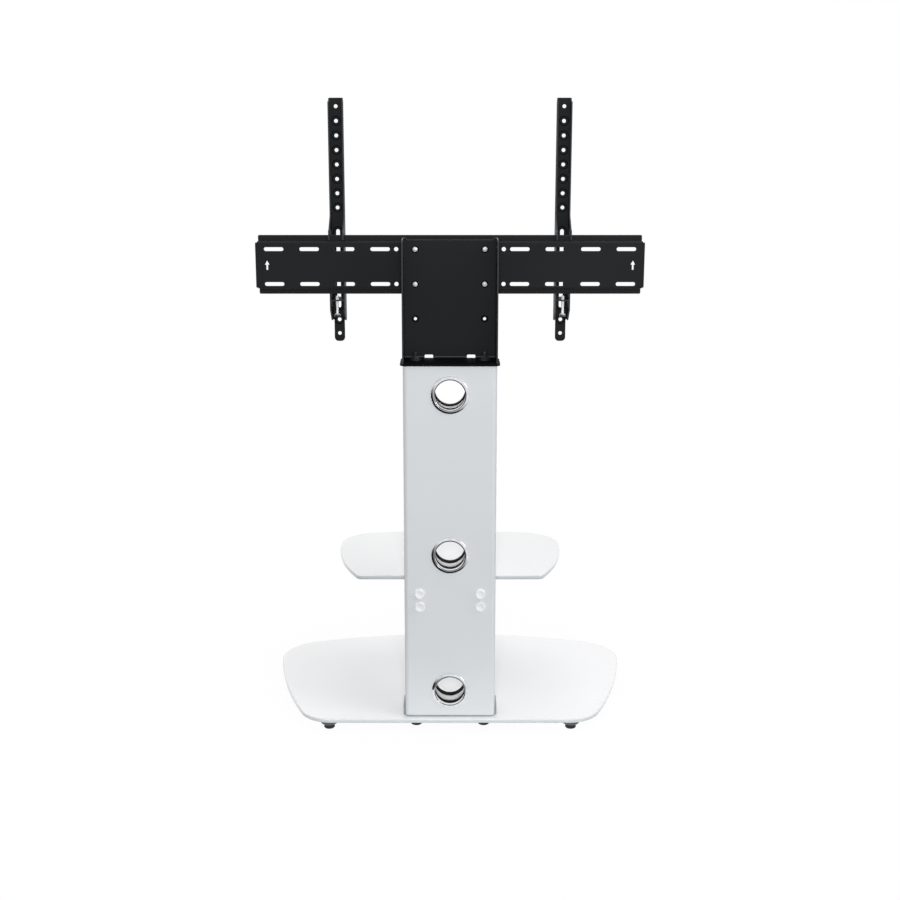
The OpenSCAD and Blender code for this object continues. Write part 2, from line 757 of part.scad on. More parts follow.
// Folded tower: web at the front, a flange on each side, floor with two stud holes
module tower() {
    web_h = tower_flange_h - tower_web_drop;
    color("#232427") difference() {
        union() {
            translate([-tower_w / 2, tower_front_y, tower_z]) cube([tower_w, tower_sheet, web_h]);
            translate([-tower_w / 2, tower_front_y, tower_z])
                cube([tower_w, tower_d, tower_sheet]);
            for (x = [-tower_w / 2, tower_w / 2 - tower_sheet]) across(x, tower_sheet) {
                translate([tower_front_y, tower_z])
                    square([tower_d - tower_corner_r, tower_flange_h]);
                translate([tower_front_y, tower_z])
                    square([tower_d, tower_flange_h - tower_corner_r]);
                translate([tower_back_y - tower_corner_r, tower_z + tower_flange_h - tower_corner_r])
                    circle(tower_corner_r);
            }
        }
        for (x = [-1, 1]) {
            translate([x * stud_x, column_y, tower_z - cut_over])
                cylinder(d = stud_d + 2 * fit_gap, h = tower_sheet + 2 * cut_over);
            for (row = [0 : 2]) translate([x * plate_bolt_x, 0, row_low_z + row * row_pitch])
                drill_y(plate_bolt_d + 2 * fit_gap, tower_front_y, tower_front_y + tower_sheet);
            translate([x * tower_notch_x - tower_notch_w / 2, tower_front_y - cut_over,
                tower_z - cut_over])
                cube([tower_notch_w, tower_notch_h + cut_over, tower_notch_h + cut_over]);
        }
    }
}

module tower_studs() {
    stud_z = column_top_z - end_plate_t;
    stud_top_z = tower_z + tower_sheet + stud_stand;
    color("gray") for (x = [-1, 1]) translate([x * stud_x, column_y, stud_z])
        cylinder(d = stud_d, h = stud_top_z - stud_z);
}

module tower_washers() {
    color("gray") for (x = [-1, 1]) translate([x * stud_x, column_y, tower_z + tower_sheet])
        washer(stud_washer_d, stud_d + 2 * fit_gap, stud_washer_t);
}

module tower_nuts() {
    color("gray") for (x = [-1, 1])
        translate([x * stud_x, column_y, tower_z + tower_sheet + stud_washer_t])
            hex_nut(stud_nut_flats, stud_nut_h, stud_d);
}

// An upright arrow in X and Z, as tall as h, with its middle on the origin
module arrow_shape(h) {
    head_h = h * 7 / 16;
    half_head = h / 4;
    half_shaft = h * 3 / 32;
    polygon([[0, h / 2], [half_head, h / 2 - head_h], [half_shaft, h / 2 - head_h],
        [half_shaft, -h / 2], [-half_shaft, -h / 2], [-half_shaft, h / 2 - head_h],
        [-half_head, h / 2 - head_h]]);
}

// Cut-outs of one half of the flat face, drawn in X and Z
module plate_cut_outs() {
    for (row = plate_rows) translate([0, row_low_z + row * row_pitch]) {
        translate([plate_bolt_x, 0]) circle(d = plate_bolt_d + 2 * fit_gap);
        translate([round_hole_x, 0]) circle(d = round_hole_d);
        for (i = [0 : slot_count - 1])
            translate([slot_first_x + i * slot_pitch, 0]) slot_shape(slot_len, slot_w);
    }
    translate([arrow_x, plate_top_z - plate_h / 2]) arrow_shape(arrow_h);
}

// Folded plate: flat face against the tower, a step forward and a lip above and below
module wall_plate() {
    lip_w = plate_w - 2 * lip_inset;
    step_d = tower_front_y - lip_front_y;
    color("#232427") {
        backwards(plate_front_y, plate_sheet) difference() {
            translate([-plate_w / 2, plate_low_z]) square([plate_w, plate_h]);
            for (side = [0, 1]) mirror([side, 0]) plate_cut_outs();
        }
        across(-lip_w / 2, lip_w) {
            translate([lip_front_y, plate_top_z - plate_sheet]) square([step_d, plate_sheet]);
            translate([lip_front_y, plate_top_z - plate_sheet])
                square([plate_sheet, lip_top_h + plate_sheet]);
            translate([lip_front_y, plate_low_z]) square([step_d, plate_sheet]);
            translate([lip_front_y, lip_low_z]) square([plate_sheet, lip_low_h + plate_sheet]);
        }
    }
}

module at_plate_bolts(y) {
    for (x = [-1, 1], row = plate_rows)
        translate([x * plate_bolt_x, y, row_low_z + row * row_pitch]) children();
}

module plate_bolts() {
    tip_y = plate_front_y - plate_nut_h - fit_gap;
    head_y = tower_front_y + tower_sheet;
    color("silver") {
        at_plate_bolts(head_y) to_back()
            dome_head(plate_bolt_head_d, plate_bolt_head_h, plate_socket_flats);
        at_plate_bolts(tip_y) to_back() cylinder(d = plate_bolt_d, h = head_y - tip_y);
    }
}

module plate_nuts() {
    color("silver") at_plate_bolts(plate_front_y) to_front()
        hex_nut(plate_nut_flats, plate_nut_h, plate_bolt_d);
}

// Outline of the web of an arm, drawn in X and Z: a strip with a narrower tongue below
module arm_web_outline() {
    tongue_r = arm_tongue_w / 2 - arm_sheet;
    mid_z = (arm_top_z + arm_flange_low_z) / 2;
    translate([0, mid_z]) square([arm_w, arm_top_z - arm_flange_low_z - 2 * arm_corner_r], center = true);
    translate([0, mid_z])
        square([arm_w - 2 * arm_corner_r, arm_top_z - arm_flange_low_z], center = true);
    translate([-arm_w / 2, arm_flange_low_z]) square([arm_w, 2 * arm_corner_r]);
    for (x = [-1, 1]) {
        translate([x * (arm_w / 2 - arm_corner_r), arm_top_z - arm_corner_r]) circle(arm_corner_r);
        translate([x * (arm_tongue_w / 2 - tongue_r), arm_low_z + tongue_r]) circle(tongue_r);
    }
    translate([-arm_tongue_w / 2, arm_low_z + tongue_r])
        square([arm_tongue_w, arm_flange_low_z - arm_low_z - tongue_r]);
    translate([-arm_tongue_w / 2 + tongue_r, arm_low_z])
        square([arm_tongue_w - 2 * tongue_r, 2 * tongue_r]);
}

// Outline of a flange of an arm, drawn in Y and Z, with the hook that drops over the upper lip
module arm_flange_outline() {
    flange_y = arm_front_y + arm_flange_d;
    bearing_y = lip_front_y - hook_gap;
    seat_z = lip_top_z + hook_gap;
    finger_y = lip_back_y + hook_gap;
    polygon([[arm_front_y, arm_flange_low_z], [flange_y, arm_flange_low_z],
        [bearing_y, arm_flange_low_z + hook_slope_h], [bearing_y, seat_z], [finger_y, seat_z],
        [finger_y, lip_top_z - hook_finger_drop], [hook_back_y, lip_top_z - hook_finger_drop],
        [hook_back_y, seat_z + hook_bar_h - hook_finger_t / 2],
        [hook_back_y - hook_finger_t / 2, seat_z + hook_bar_h],
        [bearing_y, seat_z + hook_bar_h], [flange_y, seat_z + hook_bar_h + hook_slope_h],
        [flange_y, arm_top_z - arm_corner_r], [arm_front_y, arm_top_z - arm_corner_r]]);
}

// A screw hole with a dished seat on the back of the web
module dished_hole(z) {
    web_back_y = arm_front_y + arm_sheet;
    translate([0, 0, z]) {
        drill_y(arm_hole_d, arm_front_y, web_back_y);
        translate([0, web_back_y - arm_seat_depth, 0]) to_back()
            cylinder(d1 = arm_seat_d - 2 * arm_seat_depth, d2 = arm_seat_d, h = arm_seat_depth);
    }
}

// Long slot with the same seat along it
module arm_slot() {
    mid_z = (slot_top_z + slot_low_z) / 2;
    span = slot_top_z - slot_low_z;
    web_back_y = arm_front_y + arm_sheet;
    translate([0, 0, mid_z]) rotate([0, 90, 0]) {
        backwards(arm_front_y - cut_over, arm_sheet + 2 * cut_over)
            slot_shape(span + arm_hole_d, arm_hole_d);
        backwards(web_back_y - arm_seat_depth, arm_seat_depth + cut_over)
            slot_shape(span + arm_seat_d, arm_seat_d);
    }
}

// Folded arm drawn on the middle line: web with holes and two hooked flanges
module arm() {
    color("#26272a") difference() {
        union() {
            backwards(arm_front_y, arm_sheet) arm_web_outline();
            for (x = [-arm_w / 2, arm_w / 2 - arm_sheet]) across(x, arm_sheet)
                arm_flange_outline();
        }
        for (i = [1 : arm_dished_holes]) dished_hole(arm_hole_top_z - i * arm_hole_pitch);
        dished_hole(arm_hole_low_z + arm_hole_pitch);
        for (z = [arm_hole_top_z, arm_hole_low_z]) translate([0, 0, z])
            drill_y(arm_hole_d, arm_front_y, arm_front_y + arm_sheet);
        arm_slot();
    }
}

// Tab welded between the flanges of an arm, threaded for the lock screw
module lock_tab() {
    tab_w = arm_inner_w - 2 * thread_gap;
    tab_front_y = arm_front_y + arm_sheet + fit_gap;
    color("#26272a") difference() {
        translate([-tab_w / 2, tab_front_y, lock_tab_z])
            cube([tab_w, lock_tab_back_y - tab_front_y, lock_tab_t]);
        translate([0, lock_y, lock_tab_z - cut_over])
            cylinder(d = lock_d + 2 * thread_gap, h = lock_tab_t + 2 * cut_over);
    }
}

// Lock screw: head below, tip above under the lower lip
module lock_screw() {
    color("silver") translate([0, lock_y, 0]) {
        translate([0, 0, lock_head_z]) difference() {
            rotate_extrude() polygon([[0, 0], [lock_head_d / 2 - lock_chamfer, 0],
                [lock_head_d / 2, lock_chamfer], [lock_head_d / 2, lock_head_h - lock_chamfer],
                [lock_head_d / 2 - lock_chamfer, lock_head_h], [0, lock_head_h]]);
            translate([0, 0, -cut_over]) hex_bar(lock_socket_flats, lock_socket_h + cut_over);
        }
        translate([0, 0, lock_head_z + lock_head_h / 2])
            cylinder(d = lock_d, h = lock_tip_z - lock_head_z - lock_head_h / 2 - lock_chamfer);
        translate([0, 0, lock_tip_z - lock_chamfer])
            cylinder(d1 = lock_d, d2 = lock_d - 2 * lock_chamfer, h = lock_chamfer);
    }
}

// Puts a piece that is drawn on the middle line at the left or the right arm
module at_left_arm() translate([-arm_x, 0, 0]) children();
module at_right_arm() translate([arm_x, 0, 0]) children();

base_glass();
foot_disc(-foot_back_x, foot_back_y);  // foot_disc_back_left
foot_disc(foot_back_x, foot_back_y);  // foot_disc_back_right
foot_disc(-foot_front_x, foot_front_y);  // foot_disc_front_left
foot_disc(foot_front_x, foot_front_y);  // foot_disc_front_right
foot_pad(-foot_back_x, foot_back_y);  // foot_pad_back_left
foot_pad(foot_back_x, foot_back_y);  // foot_pad_back_right
foot_pad(-foot_front_x, foot_front_y);  // foot_pad_front_left
foot_pad(foot_front_x, foot_front_y);  // foot_pad_front_right
foot_screws();
base_bolts();
base_bolt_washers();
column_shoe();
column_tube();
column_foot_plate();
column_head_plate();
cable_ring_back(port_z[0]);  // cable_ring_back_low
cable_ring_back(port_z[1]);  // cable_ring_back_middle
cable_ring_back(port_z[2]);  // cable_ring_back_top
cable_ring_front(port_z[0]);  // cable_ring_front_low
cable_ring_front(port_z[1]);  // cable_ring_front_middle
cable_ring_front(port_z[2]);  // cable_ring_front_top
shelf_glass();
shelf_bond_pad();
shelf_bracket();
shelf_bolts();
shelf_bolt_spacers();
shelf_bolt_caps();
top_cap();
tower();
tower_studs();
tower_nuts();
tower_washers();
wall_plate();
plate_bolts();
plate_nuts();
at_left_arm() arm();  // arm_left
at_right_arm() arm();  // arm_right
at_left_arm() lock_tab();  // lock_tab_left
at_right_arm() lock_tab();  // lock_tab_right
at_left_arm() lock_screw();  // lock_screw_left
at_right_arm() lock_screw();  // lock_screw_right
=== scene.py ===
"""Looks of a pedestal stand with a mount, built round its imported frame.

A curved white glass base and shelf, a painted column with bright cable ports, and a black folded
tower that carries a slotted plate and two sliding arms. Lengths are millimetres until a surface
becomes a mesh, which is in metres. The arms' side faces -Y and +Z is up.
"""
from __future__ import annotations

import logging
import math
from collections.abc import Callable, Mapping, Sequence
from dataclasses import dataclass, field
from enum import Enum
from functools import cache

import bpy
import numpy as np
from mathutils import Euler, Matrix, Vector
from mathutils.geometry import delaunay_2d_cdt

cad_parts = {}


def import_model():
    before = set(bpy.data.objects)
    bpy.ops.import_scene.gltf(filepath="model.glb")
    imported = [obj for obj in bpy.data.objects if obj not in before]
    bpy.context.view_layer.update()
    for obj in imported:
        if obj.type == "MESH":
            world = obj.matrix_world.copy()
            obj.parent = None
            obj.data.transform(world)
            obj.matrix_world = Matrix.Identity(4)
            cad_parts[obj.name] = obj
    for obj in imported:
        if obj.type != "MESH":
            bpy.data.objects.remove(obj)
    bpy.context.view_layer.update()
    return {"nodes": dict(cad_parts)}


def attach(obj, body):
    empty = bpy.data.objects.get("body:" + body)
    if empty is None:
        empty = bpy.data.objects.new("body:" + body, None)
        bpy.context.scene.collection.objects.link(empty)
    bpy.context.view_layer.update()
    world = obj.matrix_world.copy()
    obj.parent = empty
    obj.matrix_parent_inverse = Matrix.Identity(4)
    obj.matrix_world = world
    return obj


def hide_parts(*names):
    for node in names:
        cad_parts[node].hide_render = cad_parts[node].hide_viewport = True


LOG = logging.getLogger("stand")
MM = 0.001
# Points that round to the same 5000th of a millimetre are one point.
WELD = 5000
# Points of a flat pattern that are nearer than this, in millimetres, are one point.
NEAR = 1e-5
# Smallest share of an edge that is split off where a bend crosses it.
SPLIT = 1e-7
# A triangle whose corners differ in relief by more than this, in millimetres, is sloped.
SLOPE = 1e-4
# Edges between faces that meet at more than this angle, in degrees, stay sharp.
CREASE = 35
# Refractive index of glass.
GLASS_IOR = 1.52
# Depth of a screw thread as a share of its pitch.
THREAD_DEPTH = 0.56

Array = np.ndarray
Colour = tuple[float, float, float, float]
Place = tuple[float, float]
Row = tuple[object, object]


class Side(Enum):
    """Which side of the middle line a paired piece is on, as the sign of its x."""

    LEFT = -1
    RIGHT = 1


class Shading(Enum):
    """How a mesh is shaded: by area-weighted normals, or smooth but split at its creases."""

    ROUNDED = 0
    CREASED = 1


class Facing(Enum):
    """Where a turned piece's own z axis points. Rows are its x, y and z axes in the frame."""

    BACK = ((1, 0, 0), (0, 0, -1), (0, 1, 0))
    FRONT = ((1, 0, 0), (0, 0, 1), (0, -1, 0))


class Along(Enum):
    """Axis that a sheet's bends run along. Rows are its fold plane's two axes and that axis."""

    X = ((0, 1, 0), (0, 0, 1), (1, 0, 0))
    Y = ((1, 0, 0), (0, 0, 1), (0, 1, 0))
    Z = ((1, 0, 0), (0, 1, 0), (0, 0, 1))


# ---------------------------------------------------------------- surfaces


@dataclass
class Surface:
    """Points in millimetres, and faces as rows of four corner numbers, the last -1 in a triangle.

    Attributes:
        points: the points, one row each.
        faces: the faces, one row each.
        part: number of each face's finish.
    """

    points: Array
    faces: Array
    part: Array

    def turned(self, facing: Facing, origin: Sequence[float]) -> Surface:
        """Returns the surface with its axis pointed and its origin moved."""
        axes = np.array(facing.value, float)
        return Surface(self.points @ axes + np.asarray(origin, float), self.faces, self.part)

    def moved(self, offset: Sequence[float]) -> Surface:
        """Returns the surface moved by offset."""
        return Surface(self.points + np.asarray(offset, float), self.faces, self.part)


def unit(v: Array) -> Array:
    """Returns the vectors along the last axis with length 1."""
    return v / np.maximum(np.linalg.norm(v, axis=-1, keepdims=True), 1e-12)


def joined(surfaces: Sequence[Surface]) -> Surface:
    """Puts surfaces side by side in one.

    Args:
        surfaces: closed surfaces that don't share points.

    Returns:
        One surface with all their points and faces.
    """
    starts = np.cumsum([0] + [len(s.points) for s in surfaces[:-1]])
    faces = [np.where(s.faces >= 0, s.faces + start, -1) for s, start in zip(surfaces, starts)]
    return Surface(np.concatenate([s.points for s in surfaces]), np.concatenate(faces),
                   np.concatenate([s.part for s in surfaces]))


def welded(surface: Surface) -> Surface:
    """Merges points that coincide, and drops the corners and faces that this leaves without area.

    Args:
        surface: a surface whose rows meet in doubled points.

    Returns:
        The same shape with each point once.
    """
    keys = np.round(surface.points * WELD).astype(np.int64)
    _, first, back = np.unique(keys, axis=0, return_index=True, return_inverse=True)
    back = back.reshape(-1)
    faces = np.where(surface.faces >= 0, back[surface.faces], -1)
    for k in range(4):
        after = np.where(faces[:, (k + 1) % 4] >= 0, faces[:, (k + 1) % 4], faces[:, 0])
        double = (faces[:, k] == after) & (faces[:, 3] >= 0)
        order = [j for j in range(4) if j != k]
        faces[double] = np.column_stack([faces[double][:, order], np.full(double.sum(), -1)])
    a, b, c = faces[:, 0], faces[:, 1], faces[:, 2]
    real = (a != b) & (b != c) & (a != c)
    return Surface(surface.points[first], faces[real], surface.part[real])


def face_areas(points: Array, faces: Array) -> Array:
    """Returns each face's normal times twice its area: the cross product of its two diagonals,
    or of two sides of a triangle."""
    p = points[np.maximum(faces, 0)]
    quad = np.cross(p[:, 2] - p[:, 0], p[:, 3] - p[:, 1])
    triangle = np.cross(p[:, 1] - p[:, 0], p[:, 2] - p[:, 0])
    return np.where(faces[:, 3:] >= 0, quad, triangle)


def outward(surface: Surface) -> Surface:
    """Turns a closed surface so that its faces point outwards.

    The sum over faces of a corner's dot product with the face's area vector is six times the
    volume, and its sign tells which way the faces point.
    """
    middle = surface.points - surface.points.mean(0)
    volume = (middle[surface.faces[:, 0]] * face_areas(middle, surface.faces)).sum()
    if volume >= 0:
        return surface
    f = surface.faces
    flipped = np.column_stack([f[:, 2], f[:, 1], f[:, 0], f[:, 3]])
    return Surface(surface.points, np.where(f[:, 3:] >= 0, f[:, ::-1], flipped), surface.part)


def grid_faces(rows: int, columns: int, wrap_rows: bool, wrap_columns: bool) -> Array:
    """Returns the faces of a grid of points, row after row, wrapped round either way."""
    r = np.arange(rows if wrap_rows else rows - 1)[:, None]
    c = np.arange(columns if wrap_columns else columns - 1)[None, :]
    r2, c2 = (r + 1) % rows, (c + 1) % columns
    corners = [r * columns + c, r * columns + c2, r2 * columns + c2, r2 * columns + c]
    return np.stack(np.broadcast_arrays(*corners), -1).reshape(-1, 4)


def lathe(rows: Sequence[Row], count: int, closed: bool = False,
          part: Sequence[int] | int = 0) -> Surface:
    """Turns a profile about the z axis: a point of it at angle a lies at (r cos a, r sin a, z).

    Args:
        rows: radius r and height z of each row, from one number each to grids of several rows with
            a column for each angle.
        count: number of angles.
        closed: whether the last row joins the first, as in a ring.
        part: finish number of the faces above each of rows, or one number.

    Returns:
        A closed surface.
    """
    shapes = [np.broadcast_shapes(np.shape(r), np.shape(z), (1, count)) for r, z in rows]
    r, z = (np.concatenate([np.broadcast_to(row[i], shape) for row, shape in zip(rows, shapes)])
            for i in (0, 1))
    angle = np.arange(count) * (2 * np.pi / count)
    points = np.stack([r * np.cos(angle), r * np.sin(angle), z], -1).reshape(-1, 3)
    faces = grid_faces(len(r), count, closed, True)
    above = np.repeat(np.broadcast_to(part, len(rows)), [shape[0] for shape in shapes])
    return outward(welded(Surface(points, faces, above[np.arange(len(faces)) // count])))


def hexagon(flats: float, count: int) -> Array:
    """Returns the radius of a hexagon at each of count angles: half the flats over the cosine of
    the angle from the middle of the nearest flat."""
    angle = np.arange(count) * (360.0 / count)
    return flats / 2 / np.cos(np.radians((angle + 30) % 60 - 30))


def corner_arcs(p: Array, a: Array, b: Array, radii: Array, steps: int) -> tuple[Array, Array]:
    """Returns the arcs that round corners and touch both of their sides.

    An arc starts r / tan(half the angle) before its corner, and its centre lies r / sin(half the
    angle) away on the bisector.

    Args:
        p: the corners, one row each.
        a: direction from each corner back along the line.
        b: direction from each corner on along the line.
        radii: radius r at each corner.
        steps: segments in each arc.

    Returns:
        The points of each corner's arc, and the line's direction at each of them.
    """
    p, a, b, r = p[:, None], a[:, None], b[:, None], radii[:, None, None]
    angle = np.arccos(np.clip((a * b).sum(-1, keepdims=True), -1, 1))
    sweep = np.maximum(np.pi - angle, 1e-9)
    k = np.linspace(0, 1, steps + 1)[None, :, None]
    near, far = (np.sin(share * sweep) / np.sin(sweep) for share in (1 - k, k))
    middle, reach = p + unit(a + b) * r / np.sin(angle / 2), r / np.tan(angle / 2)
    points = middle + near * (p + a * reach - middle) + far * (p + b * reach - middle)
    return points, far * b - near * a


def rounded(corners: Sequence[Place], radii: Sequence[float] | float, steps: int = 6) -> Array:
    """Rounds the corners of a loop.

    Args:
        corners: the corners in order.
        radii: radius at each corner, or one for all. Zero keeps the corner.
        steps: segments in each arc.

    Returns:
        The rounded loop's points, one row each.
    """
    p = np.asarray(corners, float)
    a, b = unit(np.roll(p, 1, 0) - p), unit(np.roll(p, -1, 0) - p)
    each = np.broadcast_to(np.asarray(radii, float), (len(p),))
    line = corner_arcs(p, a, b, each, steps)[0].reshape(-1, 2)
    return line[np.linalg.norm(line - np.roll(line, 1, 0), axis=1) > NEAR]


def both_sides(x: float, rows: Sequence[float], middle: float = 0.0) -> list[Place]:
    """Returns the places in each row at a distance on either side of a middle."""
    return [(middle + side.value * x, row) for side in Side for row in rows]


def long_hole(x: float, y: float, length: float, width: float, steps: int = 16) -> Array:
    """Returns a slot's outline round its middle, clockwise, long along the second axis."""
    half = np.radians(np.linspace(90, -90, steps + 1))
    end = np.column_stack([np.sin(half), np.cos(half)]) * width / 2 + [0, (length - width) / 2]
    return np.concatenate([end, -end])[::-1] + [x, y]


def circle(x: float, y: float, diameter: float, count: int = 40) -> Array:
    """Returns a circle's outline, clockwise."""
    angle = -np.arange(count) * (2 * np.pi / count)
    return np.column_stack([np.cos(angle), np.sin(angle)]) * diameter / 2 + [x, y]


def box(x0: float, y0: float, x1: float, y1: float) -> list[Place]:
    """Returns a rectangle's corners, counter-clockwise from its low left one."""
    return [(x0, y0), (x1, y0), (x1, y1), (x0, y1)]


def stepped(a: float, b: float, end: float, narrow: float, wide: float) -> list[Place]:
    """Returns the corners of a strip from 0 to end, whose half width is narrow but for wide
    between a and b, counter-clockwise."""
    low = [(0, -narrow), (a, -narrow), (a, -wide), (b, -wide), (b, -narrow), (end, -narrow)]
    return low + [(s, -t) for s, t in low[::-1]]


def inside(points: Array, loops: Sequence[Array]) -> Array:
    """Tells which points lie in the region between loops: a ray to the right crosses an odd
    number of their edges."""
    start = np.concatenate(loops)
    end = np.concatenate([np.roll(loop, -1, 0) for loop in loops])
    y = points[:, 1:]
    rise = end[:, 1] - start[:, 1]
    across = (start[:, 1] > y) != (end[:, 1] > y)
    x = start[:, 0] + (end[:, 0] - start[:, 0]) * (y - start[:, 1]) / np.where(rise == 0, 1, rise)
    return (across & (points[:, :1] < x)).sum(1) % 2 == 1


def inset(line: Array, distance: float, closed: bool) -> Array:
    """Moves a line sideways into the material on its left, with mitred corners: each point moves
    along the sum of its two sides' normals, over one plus their dot product."""
    ahead = unit(np.roll(line, -1, 0) - line)
    behind = np.roll(ahead, 1, 0)
    if not closed:
        ahead[-1], behind[0] = ahead[-2], ahead[0]
    left = np.array([[0.0, 1.0], [-1.0, 0.0]])
    a, b = ahead @ left, behind @ left
    return line + distance * (a + b) / (1 + (a * b).sum(1, keepdims=True))


@dataclass
class FoldLine:
    """Middle line of a folded sheet in the plane across its bends, followed by its length.

    Between corners the line is straight, and at each inner corner it is an arc.

    Attributes:
        corners: its two ends and the sharp corners between them, in order.
        radius: radius of the arcs.
        steps: segments of each arc.
        line: its points.
        heading: direction at each point.
        length: length up to each point.
        run_start: for each straight run, the length at its first point less what the arc before it
            takes from the sharp corner.
    """

    corners: Sequence[Place]
    radius: float = 1.0
    steps: int = 6
    line: Array = field(init=False)
    heading: Array = field(init=False)
    length: Array = field(init=False)
    run_start: Array = field(init=False)

    def __post_init__(self) -> None:
        """Works out the points, directions and lengths along the line."""
        p = np.asarray(self.corners, float)
        a, b = unit(p[:-2] - p[1:-1]), unit(p[2:] - p[1:-1])
        arcs, turn = corner_arcs(p[1:-1], a, b, np.full(len(a), self.radius), self.steps)
        ends = unit(p[[1, -1]] - p[[0, -2]])
        self.line = np.concatenate([p[:1], arcs.reshape(-1, 2), p[-1:]])
        self.heading = np.concatenate([ends[:1], turn.reshape(-1, 2), ends[1:]])
        self.length = np.append(0.0, np.cumsum(np.linalg.norm(np.diff(self.line, axis=0), axis=1)))
        trim = np.linalg.norm(arcs[:, -1] - p[1:-1], axis=1)
        self.run_start = np.append(0.0, self.length[1:-1][self.steps::self.steps + 1] - trim)

    @property
    def bends(self) -> Array:
        """Lengths at which the line turns."""
        return self.length[1:-1]

    def at(self, run: int, distance: float) -> float:
        """Returns the length at a distance past the sharp corner that starts a straight run."""
        return float(self.run_start[run] + distance)

    def place(self, s: Array) -> tuple[Array, Array]:
        """Returns the point and the left normal at each length s."""
        at, heading = (np.column_stack([np.interp(s, self.length, of[:, i]) for i in (0, 1)])
                       for of in (self.line, self.heading))
        return at, unit(heading) @ np.array([[0.0, 1.0], [-1.0, 0.0]])


